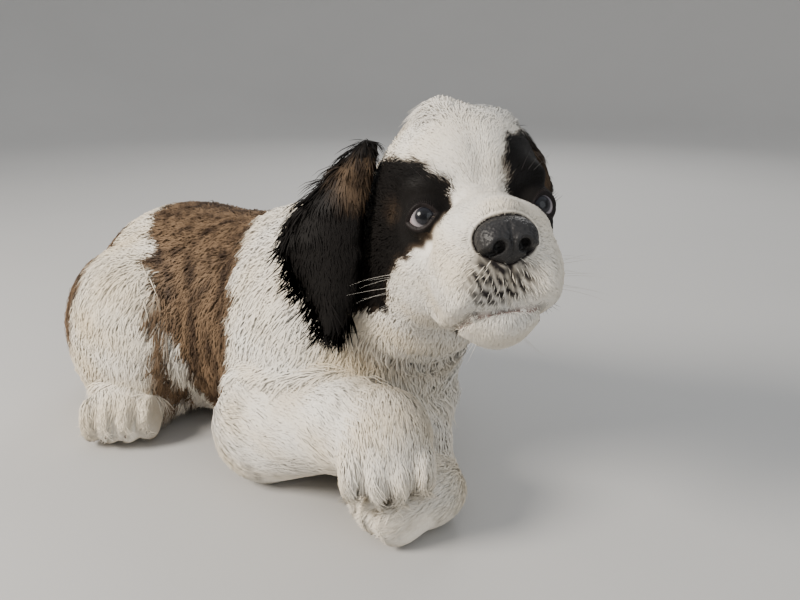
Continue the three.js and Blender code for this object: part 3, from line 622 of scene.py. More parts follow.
def part_is(part, *names):
    return np.isin(part, [PART_NAMES.index(name) for name in names])


def soft_spot(q, centre, radii, core, rim):
    """One inside a spot's core and none past its rim, which are shares of its radii."""
    return 1 - fade(size_of((q - centre) / radii), core, rim)


def markings_and_sheen(p, part):
    """Shares of black, brown and cream in the coat, with a painted brown sheen on the black between
    each eye and ear.
    """
    q = HEAD.into(p)
    x, y, z = p.T
    line = lambda rows: np.interp(z, *np.array(rows, float).T)
    ragged = 4 * wobble(p, 26, 3) + 2 * wobble(p, 9, 4)
    left = fade(y, -20, 40) * 10 * wobble(p, 120, 5)
    along = x + ragged + left
    saddle = np.minimum(along - line(SADDLE_BACK), line(SADDLE_FRONT) - along)
    wedge = np.minimum(along - line(WEDGE_BACK), line(WEDGE_FRONT) - along)
    wedge = np.where(z < 106, np.minimum(wedge, 106 - z), -9)
    rump = np.minimum(line(RUMP_FRONT) - along, z - 74 + 8 * wobble(p, 40, 6))
    brown = np.maximum(fade(saddle, -3, 5) * (1 - fade(wedge, -3, 6)), fade(rump, -3, 5))
    on_body, on_ear = part_is(part, "body"), part_is(part, "ear_right", "ear_left")
    on_trunk = on_body & (head_share(q) < 0.8)
    brown = np.where(on_trunk, brown, 0)
    tail_white = fade(x + 12 * wobble(p, 20, 7), -200, -176)
    brown = np.where(part_is(part, "tail"), 1 - tail_white, brown)
    turn = np.degrees(np.arctan2(np.abs(q[:, 1]), q[:, 0] - 6)) * TURN_LENGTH
    patch = np.full(x.shape, -20.0)
    for side, outline in FACE_PATCH.items():
        own = inside_outline(turn, q[:, 2], tuple((a * TURN_LENGTH, b) for a, b in outline))
        patch = np.where(side * q[:, 1] > 0, own, patch)
    patch = patch + 1.6 * wobble(p, 11, 8)
    black = np.where(on_body & (head_share(q) > 0.4), fade(patch, -1.6, 2.6), 0)
    black = np.where(on_ear, 1, black)
    both = lambda x, y, z, *spot: np.maximum(*(soft_spot(q, (x, n * y, z), *spot) for n in SIDES))
    russet = 0.5 * on_ear * both(4, 62, 36, (22, 22, 20), 0.4, 1.15)
    # Painted sheen: a brown spot on the black patch between each eye and ear, standing in for light
    # glancing off the black hair there.
    brow_sheen = 0.2 * both(34, 52, 14, (16, 12, 12), 0.3, 1.1)
    lower = 0.2 * (1 - fade(patch, 0, 7)) * (q[:, 2] < 0) * on_body
    # The russet on the ears and the tan along the patches' lower edges are the coat's own colour;
    # the spot between eye and ear is painted sheen.
    tan_and_sheen = np.maximum(russet, np.maximum(brow_sheen, lower) * black)
    black, brown = black * (1 - tan_and_sheen), np.maximum(brown, black)
    stain = soft_spot(p, (112, -72, 108), (26, 26, 22), 0.4, 1.3)
    cream = 0.25 + 0.22 * wobble(p, 45, 9) + 0.55 * stain
    cream = cream + 0.3 * fade(x, -60, -120) * on_trunk + 0.22 * part_is(part, *PAWS)
    return np.stack([black, brown, np.clip(cream, 0, 1)], 1)


def bare_places(p):
    """Shares of bare dark skin and of pink skin: lids, lips and the skin under the nose."""
    q = HEAD.into(p)
    x, z = q[:, 0], q[:, 2]
    dark, pink = np.zeros(len(p)), np.zeros(len(p))
    for side in SIDES:
        ahead = gaze(q, side)[0]
        rim = (1 - fade(opening(q, side), 0.6, 1.8)) * (ahead > 4)
        rim *= size_of(q - EYE[side]) < EYE_RADIUS + 5
        dark = np.maximum(dark, rim)
    off_line = z - mouth_height(x)
    line = 0.95 * fade(x, 42, 50) * np.exp(-((off_line / 1.5) ** 2))
    lower = 0.8 * fade(x, 56, 80) * np.exp(-(((off_line + 2.0) / 1.4) ** 2))
    rim = 1 - fade(nose_form(q), 0.6, 2.4)
    under = soft_spot(q, (106, -5, -28), (16, 25, 23), 0.55, 1.1)
    spots = 0.82 + 0.4 * wobble(p, 5, 10)
    dark = np.maximum.reduce([dark, line, rim * (x > 90), under * np.clip(spots, 0, 1)])
    return np.clip(dark, 0, 1), np.clip(lower, 0, 1)


def label_parts(p):
    own = in_pieces(lambda some: parts_of(some)[0].T, p)
    return own.argmin(1)


skin_part = label_parts(points)
skin_marks = markings_and_sheen(points, skin_part)
dark_skin, pink_skin = bare_places(points)


def colour_layer(mesh, name, values):
    layer = mesh.color_attributes.new(name, "FLOAT_COLOR", "POINT")
    layer.data.foreach_set("color", np.asarray(values, np.float32).ravel())


full = np.ones(len(points))
colour_layer(skin_mesh, "marks", np.column_stack([skin_marks, full]))
colour_layer(skin_mesh, "bare", np.column_stack([dark_skin, pink_skin, 0 * full, full]))


class Nodes:
    """A material's nodes, made and joined in a line each."""

    def __init__(self, name):
        self.material = bpy.data.materials.new(name)
        self.material.use_nodes = True
        self.tree = self.material.node_tree
        self.shader = self.tree.nodes["Principled BSDF"]

    def add(self, kind, inputs=(), **settings):
        node = self.tree.nodes.new("ShaderNode" + kind)
        for key, value in settings.items():
            setattr(node, key, value)
        for key, value in dict(inputs).items():
            self.put(value, node.inputs[key])
        return node

    def put(self, value, socket):
        if isinstance(value, bpy.types.NodeSocket):
            self.tree.links.new(value, socket)
        else:
            socket.default_value = value

    def mix(self, share, a, b, blend="MIX"):
        node = self.add("Mix", data_type="RGBA", blend_type=blend)
        for value, socket in ((share, 0), (a, 6), (b, 7)):
            self.put(value, node.inputs[socket])
        return node.outputs[2]

    def sum(self, kind, a, b=0.0, c=0.0, clamp=False):
        node = self.add("Math", operation=kind, use_clamp=clamp)
        for i, value in enumerate((a, b, c)):
            self.put(value, node.inputs[i])
        return node.outputs[0]

    def noise(self, scale, detail=3, stretch=(1, 1, 1), roughness=0.55):
        place = self.add("TexCoord").outputs["Object"]
        mapped = self.add("Mapping", {"Vector": place, "Scale": stretch}).outputs[0]
        settings = {"Vector": mapped, "Scale": scale, "Detail": detail, "Roughness": roughness}
        return self.add("TexNoise", settings).outputs[0]

    def channels(self, layer):
        attribute = self.add("Attribute", attribute_name=layer)
        split = self.add("SeparateColor", {"Color": attribute.outputs["Color"]})
        return [*split.outputs, attribute.outputs["Alpha"]]

    def ramp(self, value, *stops):
        node = self.add("ValToRGB", {"Fac": value})
        points = node.color_ramp.elements
        while len(points) < len(stops):
            points.new(0.5)
        for point, (place, colour) in zip(points, stops):
            point.position, point.color = place, (*colour, 1)
        return node.outputs[0]

    def bump(self, height, strength, distance):
        settings = {"Height": height, "Strength": strength, "Distance": distance}
        return self.add("Bump", settings).outputs[0]

    def finish(self, **sockets):
        for name, value in sockets.items():
            self.put(value, self.shader.inputs[name.replace("_", " ")])
        return self.material


WHITE_HAIR = (0.87, 0.83, 0.75, 1)
CREAM_HAIR = (0.74, 0.62, 0.44, 1)
FAWN_HAIR = (0.235, 0.152, 0.088, 1)
UMBER_HAIR = (0.035, 0.021, 0.013, 1)
BLACK_HAIR = (0.005, 0.004, 0.0035, 1)


def coat_colour(nodes, black, brown, cream, tip, chance):
    """White to cream, fawn with dark streaks and tips, and black."""
    pale = nodes.mix(cream, WHITE_HAIR, CREAM_HAIR)
    streak = nodes.noise(75, 4, (1.0, 1.0, 0.28))
    streak = nodes.sum("MULTIPLY_ADD", streak, 5.0, -2.05, clamp=True)
    dusk = nodes.sum("MULTIPLY_ADD", tip, 0.15, nodes.sum("MULTIPLY", chance, 0.35))
    dusk = nodes.sum("MULTIPLY_ADD", streak, 0.65, dusk, clamp=True)
    tawny = nodes.mix(dusk, FAWN_HAIR, UMBER_HAIR)
    colour = nodes.mix(brown, pale, tawny)
    return nodes.mix(black, colour, BLACK_HAIR)


skin_nodes = Nodes("skin_under_coat")
black, brown, cream, _ = skin_nodes.channels("marks")
bare_dark, bare_pink, *_ = skin_nodes.channels("bare")
colour = coat_colour(skin_nodes, black, brown, cream, 0.2, skin_nodes.noise(900, 2))
pores = skin_nodes.noise(700, 3)
dark_tone = skin_nodes.mix(pores, (0.006, 0.005, 0.005, 1), (0.022, 0.016, 0.015, 1))
pink_tone = skin_nodes.mix(pores, (0.30, 0.15, 0.13, 1), (0.17, 0.085, 0.075, 1))
colour = skin_nodes.mix(bare_pink, colour, pink_tone)
colour = skin_nodes.mix(bare_dark, colour, dark_tone)
rough = skin_nodes.sum("MULTIPLY_ADD", bare_dark, -0.35, 0.85)
fuzz = skin_nodes.bump(skin_nodes.noise(420, 4, (1, 1, 0.5)), 0.5, 0.0008)
skin_material = skin_nodes.finish(
    Base_Color=colour, Roughness=rough, Normal=fuzz, IOR=1.4, Specular_IOR_Level=0.2
)
skin_mesh.materials.append(skin_material)
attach(skin, "root")
FLESH = (
    "torso neck head lower_jaw hindleg_right hindleg_left foreleg_right foreleg_left "
    "forepaw_right forepaw_left hindpaw_right hindpaw_left ear_right ear_left "
    "tail_base tail_middle tail_end"
)
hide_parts(*FLESH.split())

# The coat
# Soft plush puppy hair in tufts: each is a thin, closed, three-sided strand that is rooted in the
# skin, lies along the lie of the hair and tapers to its tip. Long on the trunk and ruff, short on
# the legs, feet and face. It carries the skin's markings, taken at its own root.
skin_mesh.calc_loop_triangles()
triangles = values_of(skin_mesh.loop_triangles, "vertices", 3, np.int32)
triangle_loops = values_of(skin_mesh.loop_triangles, "loops", 3, np.int32)
triangle_map = values_of(skin_mesh.uv_layers["OFBake"].data, "uv", 2)[triangle_loops]
skin_normals = values_of(skin_mesh.vertex_normals, "vector", 3)
corner = points[triangles]
across, along = corner[:, 1] - corner[:, 0], corner[:, 2] - corner[:, 0]
triangle_area = size_of(np.cross(across, along)) / 2
triangle_part = skin_part[triangles[:, 0]]
triangle_middle = corner.mean(1)


def unit(v):
    return v / np.maximum(np.linalg.norm(v, axis=-1, keepdims=True), 1e-9)


class Roots:
    """Evenly strewn roots on the skin: so many to a square millimetre at each place."""

    def __init__(self, density, seed):
        draw = np.random.default_rng(seed)
        share = np.cumsum(triangle_area * density)
        count = int(share[-1])
        chosen = np.searchsorted(share, (np.arange(count) + draw.random(count)) / count * share[-1])
        chosen = np.minimum(chosen, len(triangles) - 1)
        a, b = draw.random((2, count))
        a, b = np.where(a + b > 1, 1 - a, a), np.where(a + b > 1, 1 - b, b)
        weights = np.stack([1 - a - b, a, b], 1)[..., None]
        self.place = (corner[chosen] * weights).sum(1)
        self.up = unit((skin_normals[triangles[chosen]] * weights).sum(1))
        self.map = (triangle_map[chosen] * weights).sum(1)
        self.part = triangle_part[chosen]
        self.chance = draw.random(count)
        self.stray = draw.normal(size=(count, 3))
        self.head = HEAD.into(self.place)

    def __len__(self):
        return len(self.place)


def lie_of(p, part):
    """The way that the hair points."""
    q = HEAD.into(p)
    x, y, z = p.T
    one = lambda v: np.broadcast_to(np.array(v, float), p.shape)
    blend = lambda a, b, share: a + (b - a) * share[:, None]
    downward = np.maximum(fade(np.abs(y), 30, 85), fade(x, 20, 110))
    way = one((-1, 0, -0.25)) - np.outer(downward, (-0.35, 0, 0.75))
    way = blend(way, one((-0.45, 0, -0.9)), fade(np.abs(y), 55, 95) * (1 - fade(x, -110, -70)))
    way = blend(way, one((0.15, 0, -1)), fade(x, 100, 150))
    way = blend(way, one((-0.55, 0.05, -0.75)), fade(z, 130, 185) * (1 - fade(x, 130, 180)))
    from_nose = unit(q - (106, 0, -4))
    from_nose[:, 2] -= 0.3 * (1 - fade(q[:, 2], -16, 24)) * fade(108 - q[:, 0], 20, 60)
    from_nose[:, 1] += 0.35 * np.sign(q[:, 1]) * fade(np.abs(q[:, 1]), 0, 14) * fade(q[:, 2], 6, 34)
    way = blend(unit(way), HEAD.way(unit(from_nose)), head_share(q, 88, 116))
    for side in SIDES:
        on_ear = part_is(part, "ear_" + SIDES[side])
        across, _, _ = ear_axes(side)
        share = ear_place(q, side)[0]
        flap = np.outer(0.12 + 0.55 * fade(share, -0.1, 1.0), across) + (0, 0, -0.85)
        way = np.where(on_ear[:, None], HEAD.way(flap), way)
    for side, bones in FORELEGS.items():
        on_leg = part_is(part, "foreleg_" + side)
        (start, joint, *_), (_, end, *_) = bones
        upper, lower = (unit(np.subtract(b, a)) for a, b in ((start, joint), (joint, end)))
        share = fade((p - joint) @ lower, -25, 10)
        way = np.where(on_leg[:, None], blend(one(upper), one(lower), share) + (0, 0, -0.4), way)
    for name, stand in PAWS.items():
        on_paw = part_is(part, name)
        way = np.where(on_paw[:, None], stand.way((1, 0, -0.25)), way)
    knots = np.array([point for point, _ in TAIL], float)
    nearest = size_of(p[:, None] - (knots[1:] + knots[:-1]) / 2).argmin(1)
    along = unit(np.diff(knots, axis=0))[nearest]
    return unit(np.where(part_is(part, "tail")[:, None], along, way))


HAIR = Nodes("puppy_hair")
black, brown, cream, tip = HAIR.channels("marks")
chance, *_ = HAIR.channels("hair")
cream = HAIR.sum("MULTIPLY_ADD", chance, 0.22, HAIR.sum("ADD", cream, -0.1), clamp=True)
colour = coat_colour(HAIR, black, brown, cream, tip, chance)
# Painted shade: each tuft is darker towards its root, where the tufts shade one another, and darker
# by a random amount from tuft to tuft.
painted_root_shade = HAIR.sum("MULTIPLY_ADD", tip, 0.16, HAIR.sum("MULTIPLY_ADD", chance, 0.1, 0.86), clamp=True)
colour = HAIR.mix(painted_root_shade, HAIR.mix(0.55, colour, (0, 0, 0, 1)), colour)
strand = HAIR.bump(HAIR.noise(1500, 2, (1, 1, 0.35)), 0.12, 0.0003)
hair_material = HAIR.finish(
    Base_Color=colour, Roughness=0.6, Normal=strand, IOR=1.5, Specular_IOR_Level=0.14
)
STRAND = ((0, 0), (0.42, 1), (1, 0))  # shares of a tuft's length, and of its width there
LOCK = ((0, 0), (0.3, 1), (0.66, 0.75), (1, 0))
MAP_PATCH = 0.003  # of each tuft on the map
MOST_TRIANGLES = 190000  # in a piece
TUFT_BEND = 0.9  # the share of its rise that a tuft loses by its middle
TUFT_THICKNESS = 0.3  # of its width
LOWEST_HAIR = 0.6  # over the floor


def grow(name, roots, length, width, rise, form=STRAND, sink=0.8, messy=0.15):
    """Grows a tuft from each root and gathers them in pieces. A tuft rises by so many degrees and
    bends over."""
    up = roots.up
    way = lie_of(roots.place, roots.part)
    way = unit(way + roots.stray * np.broadcast_to(messy, len(roots))[:, None])
    way = unit(way - up * (way * up).sum(1)[:, None])
    aside = np.cross(way, up)
    lean = 0.2 * wobble(roots.place, 15, 21)[:, None] * aside
    way = unit(way + lean)
    aside = unit(np.cross(way, up))
    length = (length * (0.8 + 0.4 * roots.chance))[:, None]
    width = (width * (0.85 + 0.3 * roots.chance))[:, None]
    rise = np.radians(rise)[:, None] * (1 + 0.15 * roots.stray[:, :1])
    place = roots.place - up * sink
    count, last = len(roots), len(form) - 1
    verts, normals = [], []
    for i, (share, wide) in enumerate(form):
        if i:
            before = form[i - 1][0]
            angle = rise * (1 - TUFT_BEND * (share + before))
            step = length * (share - before)
            place = place + way * np.cos(angle) * step + up * np.sin(angle) * step
        if i in (0, last):
            verts.append(place)
            normals.append(up + way * 0.3)
            continue
        half = aside * width * wide / 2
        verts += [place - half, place + up * width * wide * TUFT_THICKNESS, place + half]
        normals += [up - aside * 0.15, up, up + aside * 0.15]
    verts, normals = np.stack(verts, 1), unit(np.stack(normals, 1))
    verts[..., 2] = np.maximum(verts[..., 2], LOWEST_HAIR)
    rim = ((0, 1), (1, 2), (2, 0))
    faces = [(1 + b, 1 + a, 0) for a, b in rim]
    for i in range(1, 3 * last - 5, 3):
        faces += [(i + a, i + b, i + 3 + b, i + 3 + a) for a, b in rim]
    faces += [(3 * last - 5 + a, 3 * last - 5 + b, 3 * last - 2) for a, b in rim]
    per_tuft = sum(len(face) - 2 for face in faces)
    each = verts.shape[1]
    marks = markings_and_sheen(roots.place + roots.stray * 1.2, roots.part)
    shares = np.repeat([share for share, _ in form], [1] + [3] * (last - 1) + [1])
    across = np.array([0.0] + [-0.5, 0.0, 0.5] * (last - 1) + [0.0])
    patch = np.stack([across, shares - 0.5], 1) * MAP_PATCH
    loops = np.concatenate(faces)
    sizes = np.array([len(face) for face in faces])
    parts = max(1, math.ceil(count * per_tuft / MOST_TRIANGLES))
    order = np.argsort(roots.place @ (1, 0.2, 0))
    for number, chosen in enumerate(np.array_split(order, parts)):
        n = len(chosen)
        mesh = bpy.data.meshes.new(name)
        mesh.vertices.add(n * each)
        mesh.vertices.foreach_set("co", metres(verts[chosen].reshape(-1, 3)).ravel())
        index = (np.arange(n)[:, None] * each + loops).ravel()
        mesh.loops.add(len(index))
        mesh.loops.foreach_set("vertex_index", index.astype(np.int32))
        totals = np.tile(sizes, n)
        mesh.polygons.add(len(totals))
        mesh.polygons.foreach_set("loop_start", (np.cumsum(totals) - totals).astype(np.int32))
        mesh.update(calc_edges=True)
        mesh.uv_layers.new(name="OFBake")
        spot = roots.map[chosen][:, None] + patch[loops][None]
        mesh.uv_layers["OFBake"].data.foreach_set("uv", spot.astype(np.float32).ravel())
        marked = np.repeat(marks[chosen], each, 0)
        colour_layer(mesh, "marks", np.column_stack([marked, np.tile(shares, n)]))
        luck = np.repeat(roots.chance[chosen], each)
        colour_layer(mesh, "hair", np.column_stack([luck, luck, luck, luck * 0 + 1]))
        smooth(mesh)
        mesh.normals_split_custom_set_from_vertices(normals[chosen].reshape(-1, 3))
        mesh.materials.append(hair_material)
        piece = in_scene(f"{name}_{number + 1}" if parts > 1 else name, mesh)
        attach(piece, "root")


# Trunk, rump and ruff: the longest and softest hair, which stands off the body and parts in
# loose locks. The numbers of tufts are to a square millimetre of skin.
middle_head = HEAD.into(triangle_middle)
middle_share = head_share(middle_head, 98, 104)
of_body = part_is(triangle_part, "body")
TRUNK_TUFTS, LEG_TUFTS, FACE_TUFTS, EAR_TUFTS, TAIL_TUFTS = 0.56, 0.6, 0.78, 0.5, 0.42
trunk = Roots(TRUNK_TUFTS * of_body * (1 - middle_share) * (triangle_middle[:, 2] > 1.5), 31)
ruff = fade(trunk.place[:, 0], 20, 90)
flat = floor_share(trunk.place)
grow(
    "coat_trunk",
    trunk,
    length=(24 + 6 * ruff) * (0.45 + 0.55 * flat),
    width=0.9 + 0.1 * ruff,
    rise=42 * flat,
    messy=0.2,
)

# Legs and feet: shorter hair that lies closer
of_legs = part_is(triangle_part, "foreleg_right", "foreleg_left", *PAWS)
legs = Roots(LEG_TUFTS * of_legs * (triangle_middle[:, 2] > 1.0), 32)
on_paw = part_is(legs.part, *PAWS)
flat = floor_share(legs.place)
grow(
    "coat_legs",
    legs,
    length=np.where(on_paw, 13, 17) * (0.5 + 0.5 * flat),
    width=np.where(on_paw, 0.75, 0.85),
    rise=np.where(on_paw, 34, 32) * flat,
)

# Head: short on the face and muzzle, longer on the cheeks, with soft tufts on the crown
def face_at(q):
    """How far a place is on the short-haired face; the forehead's hair stays long."""
    return fade(q[..., 0] - 0.35 * np.maximum(q[..., 2] - 20, 0), 8, 52)


face_share = face_at(middle_head)
dark_middle = dark_skin[triangles].mean(1)
crowded = FACE_TUFTS + 0.7 * face_share + 0.7 * fade(middle_head[:, 0], 60, 80)
covered = 1 - 0.97 * fade(dark_middle, 0.12, 0.5)
head_hair = Roots(of_body * middle_share * crowded * covered, 33)
q = head_hair.head
face = face_at(q)
muzzle = fade(q[:, 0], 62, 80)
by_eye = fade(eye_distance(q), 13, 32)
crown = fade(q[:, 2], 36, 66) * (1 - face)
tufted = np.exp(-(((q[:, 1] + 10) / 11) ** 2)) + 0.8 * np.exp(-(((q[:, 1] - 25) / 9) ** 2))
puffs = 1 + 0.25 * crown * wobble(head_hair.place, 34, 23)
long_hair = puffs * (16 + (16 * tufted - 8) * crown) * (1 - face)
long_hair += 8 * face * (1 - muzzle) + 6 * muzzle
off_mouth = np.abs(q[:, 2] - mouth_height(q[:, 0])) + 60 * (q[:, 0] < 42)
by_mouth = 0.6 + 0.4 * fade(off_mouth, 1, 5)
grow(
    "coat_head",
    head_hair,
    length=(2.6 + (long_hair - 2.6) * by_eye) * by_mouth,
    width=(0.5 + 0.3 * (1 - face) - 0.15 * crown) * (0.75 + 0.25 * by_eye),
    rise=((34 + 36 * crown) * (1 - face) + (28 + 8 * muzzle) * face) * (0.4 + 0.6 * by_eye),
    sink=0.25,
    messy=0.15 + 0.18 * crown,
)

# Ears: silky hair along the flap, with a wavy fringe off its rear edge and tip
ear_hair = Roots(EAR_TUFTS * part_is(triangle_part, "ear_right", "ear_left"), 34)
edge = np.zeros(len(ear_hair))
for side in SIDES:
    share = ear_place(ear_hair.head, side)[0]
    own = part_is(ear_hair.part, "ear_" + SIDES[side])
    fringe = np.maximum(fade(share, 0.45, 0.95), fade(-ear_hair.head[:, 2], 36, 56))
    edge = np.where(own, fringe if side < 0 else 0.2 * fringe, edge)
grow(
    "coat_ears",
    ear_hair,
    length=11 + 13 * edge,
    width=0.85 + 0.25 * edge,
    rise=16 + 6 * edge,
    form=LOCK,
    sink=0.4,
)

# Tail: a full plume, brown at the root and white at the tip
of_tail = part_is(triangle_part, "tail")
plume = Roots(TAIL_TUFTS * of_tail * (triangle_middle[:, 2] > 1.5), 35)
flat = floor_share(plume.place)
grow(
    "coat_tail",
    plume,
    length=24 * (0.5 + 0.5 * flat),
    width=1.5,
    rise=42 * flat,
    form=LOCK,
)

# The eyes
# Wet eyeballs, each with a dark blue-grey iris, a bulging cornea and a little white at the rim.
# They are separate bodies behind the lids and look ahead and a little up.
IRIS_ANGLE, PUPIL_ANGLE = 29, 13  # degrees off the way that the eye looks
LOOKS_AT = {-1: (0.95, -0.26, 0.16), 1: (0.97, 0.17, 0.14)}  # in the head's frame


def whole_mesh(name, verts, faces):
    mesh = bpy.data.meshes.new(name)
    mesh.from_pydata(np.asarray(verts).tolist(), [], [tuple(map(int, face)) for face in faces])
    smooth(mesh)
    return mesh


def tube_faces(rings, sides):
    """Quads between rings of corners, with a fan to one point at each end."""
    faces = []
    for ring in range(rings - 1):
        for k in range(sides):
            a, b = ring * sides + k, ring * sides + (k + 1) % sides
            faces.append((a, b, b + sides, a + sides))
    first, last, end = rings * sides, rings * sides + 1, (rings - 1) * sides
    faces += [(first, (k + 1) % sides, k) for k in range(sides)]
    faces += [(last, end + k, end + (k + 1) % sides) for k in range(sides)]
    return faces


iris = Nodes("eye")
off_axis, *_ = iris.channels("eye")
rays = iris.add("Attribute", attribute_name="spokes").outputs["Vector"]
fibres = iris.add("TexNoise", {"Vector": rays, "Scale": 9.0})
colour = iris.ramp(
    off_axis,
    (0.0, (0.003, 0.003, 0.004)),
    (PUPIL_ANGLE / 180, (0.003, 0.003, 0.004)),
    ((PUPIL_ANGLE + 2.5) / 180, (0.007, 0.007, 0.009)),
    ((IRIS_ANGLE - 6) / 180, (0.013, 0.013, 0.018)),
    ((IRIS_ANGLE - 1) / 180, (0.004, 0.004, 0.005)),
    ((IRIS_ANGLE + 4) / 180, (0.22, 0.20, 0.215)),
    ((IRIS_ANGLE + 14) / 180, (0.36, 0.32, 0.34)),
    (0.42, (0.32, 0.19, 0.17)),
)
colour = iris.mix(iris.sum("MULTIPLY", fibres.outputs[0], 0.35), colour, (0.012, 0.013, 0.018, 1))
eye_material = iris.finish(
    Base_Color=colour,
    Roughness=0.3,
    IOR=1.36,
    Specular_IOR_Level=0.15,
    Coat_Weight=0.55,
    Coat_Roughness=0.02,
)
CORNEA_BULGE = 0.55
EYE_SIDES = 64
EYE_RINGS = np.radians([2, *range(4, 35, 3), 38, 44, 52, 62, 74, 88, 104, 122, 142, 162])
for side, name in SIDES.items():
    ahead = HEAD.way(unit(np.array(LOOKS_AT[side])))
    level = unit(np.cross((0, 0, 1), ahead))
    high = np.cross(ahead, level)
    spokes = np.linspace(0, 2 * math.pi, EYE_SIDES, endpoint=False)
    angles = np.concatenate([np.repeat(EYE_RINGS, EYE_SIDES), [0, math.pi]])
    spin = np.concatenate([np.tile(spokes, len(EYE_RINGS)), [0, 0]])
    outward = np.outer(np.cos(spin), level) + np.outer(np.sin(spin), high)
    verts = np.cos(angles)[:, None] * ahead + np.sin(angles)[:, None] * outward
    bulge = CORNEA_BULGE * (1 - fade(np.degrees(angles), 8, IRIS_ANGLE + 4))
    verts = (EYE_RADIUS + bulge)[:, None] * verts + HEAD.out(EYE[side])
    mesh = whole_mesh("eyeball_" + name, metres(verts), tube_faces(len(EYE_RINGS), EYE_SIDES))
    none = angles * 0
    place = [angles / math.pi, spin / (2 * math.pi), none, none + 1]
    colour_layer(mesh, "eye", np.stack(place, 1))
    layer = mesh.attributes.new("spokes", "FLOAT_VECTOR", "POINT")
    rays = np.stack([np.cos(spin), np.sin(spin), angles * 0.5], 1)
    layer.data.foreach_set("vector", rays.astype(np.float32).ravel())
    mesh.materials.append(eye_material)
    eyeball = in_scene("eyeball_" + name, mesh)
    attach(eyeball, "root")
    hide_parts("eye_" + name)

# The nose
# Moist black leather, pebbled, with a comma-shaped nostril on each side that runs back in a slit,
# and a shallow groove down its middle. It sits in a rim of bare skin.
NOSE_STEP = 0.9


def nose_surface(p):
    q = HEAD.into(p)
    total = nose_form(q)
    x, y, z = q.T
    total = total + 0.9 * np.exp(-((y / 1.1) ** 2)) * fade(x, 104, 109) * (1 - fade(z, 1, 6))
    for side in SIDES:
        hole = egg(q, (114, side * 6.8, -9.0), (8, 3.3, 3.6))
        slit = (q - (110, side * 11.6, -12.2)) @ turned(side * 34, 8, side * -16)
        hole = melt(hole, egg(slit, (0, 0, 0), (7, 4.6, 1.5)), 1.5)
        total = -melt(-total, hole, 1.8)
        total = total - 0.8 * np.exp(-((hole - 2.2) / 1.3) ** 2) * (z > -11)
    return total


box = HEAD.out(grid_of((86, 122), (-24, 24), (-26, 16)))
points, quads = surface(nose_surface, box.min(0), box.max(0), NOSE_STEP)
nose_mesh = whole_mesh("nose_leather", metres(settle(nose_surface, points, 0.6)), quads)
leather = Nodes("nose_leather")
place = leather.add("TexCoord").outputs["Object"]
pebbles = leather.add("TexVoronoi", {"Vector": place, "Scale": 620.0}, feature="SMOOTH_F1")
pebbles = pebbles.outputs[0]
creases = leather.noise(90, 3)
# Painted shade: the leather is darker in the grooves between the pebbles, the same grooves that the
# bump below sinks.
tone = leather.mix(pebbles, (0.016, 0.015, 0.015, 1), (0.006, 0.0055, 0.006, 1))
tone = leather.mix(leather.sum("MULTIPLY", creases, 0.5), tone, (0.028, 0.026, 0.026, 1))
rough = leather.sum("MULTIPLY_ADD", creases, 0.25, 0.38)
grain = leather.bump(leather.sum("MULTIPLY", pebbles, -1.0), 0.8, 0.0008)
nose_material = leather.finish(
    Base_Color=tone, Roughness=rough, Normal=grain, IOR=1.4, Coat_Weight=0.05
)
nose_mesh.materials.append(nose_material)
nose = in_scene("nose_leather", nose_mesh)
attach(nose, "root")
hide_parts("nose")

# The claws
# Short, curved, blunt horn, one at the end of each toe and mostly under its hair.
CLAW_SIDES, CLAW_RINGS = 10, 9
CLAW_SPINE = ((-10, -3.5), (-6, -5.5), (-3, -8), (-1, -11))  # ahead of the toe's end, and height
CLAW_RADII = (2.5, 2.4, 1.9, 0.5)
verts, faces = [], []
for stand in PAWS.values():
    for ahead, aside in TOES:
        end = ahead + TOE_RADII[0]
        steps = np.linspace(0, 3, CLAW_RINGS)
        xs, zs = (np.interp(steps, range(4), [row[i] for row in CLAW_SPINE]) for i in (0, 1))
        radii = np.interp(steps, range(4), CLAW_RADII)
        base = len(verts)
        spine = np.stack([end + xs, 0 * xs + aside, zs], 1)
        run = unit(np.gradient(spine, axis=0))
        for point, way, radius in zip(spine, run, radii):
            over = np.cross(way, (0, 1, 0))
            for k in range(CLAW_SIDES):
                turn = 2 * math.pi * k / CLAW_SIDES
                ring = np.array((0, 0.85 * math.cos(turn), 0)) + over * math.sin(turn)
                verts.append(stand.out(point + radius * ring))
        verts += [stand.out(spine[0]), stand.out(spine[-1] + run[-1] * 0.4)]
        tube = tube_faces(CLAW_RINGS, CLAW_SIDES)
        faces += [tuple(base + v for v in face) for face in tube]
verts = np.array(verts)
verts[:, 2] = np.maximum(verts[:, 2], 0.5)
claw_mesh = whole_mesh("claws", metres(verts), faces)
horn = Nodes("claw_horn")
tone = horn.mix(horn.noise(500, 3, (1, 1, 0.3)), (0.20, 0.15, 0.11, 1), (0.08, 0.055, 0.04, 1))
ridges = horn.bump(horn.noise(1200, 2), 0.3, 0.0002)
claw_mesh.materials.append(horn.finish(Base_Color=tone, Roughness=0.35, Normal=ridges, IOR=1.54))
claws = in_scene("claws", claw_mesh)
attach(claws, "root")
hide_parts(*[f"claw_{name}_{n}" for name in PAWS for n in (1, 2, 3, 4)])

# The whiskers and lashes
# Fine stiff hairs: whiskers in rows on the upper lips, a few over each eye and on the chin, and
# short lashes along the upper lid. Each is a bent line that Geometry Nodes sweep to a taper.


HAIR_POINTS = 9


def hairs_from(rows):
    """Bent lines from a root, along a way in the head's frame, that droop a little."""
    places, edges, thin = [], [], []
    for root, way, long, droop in rows:
        root, way = HEAD.out(root), HEAD.way(unit(np.array(way, float)))
        first = len(places)
        for t in np.linspace(0, 1, HAIR_POINTS):
            places.append(root + way * long * t + np.array((0, 0, -1)) * long * droop * t * t)
            thin.append(1 - 0.85 * t)
        edges += [(first + i, first + i + 1) for i in range(HAIR_POINTS - 1)]
    return places, edges, thin


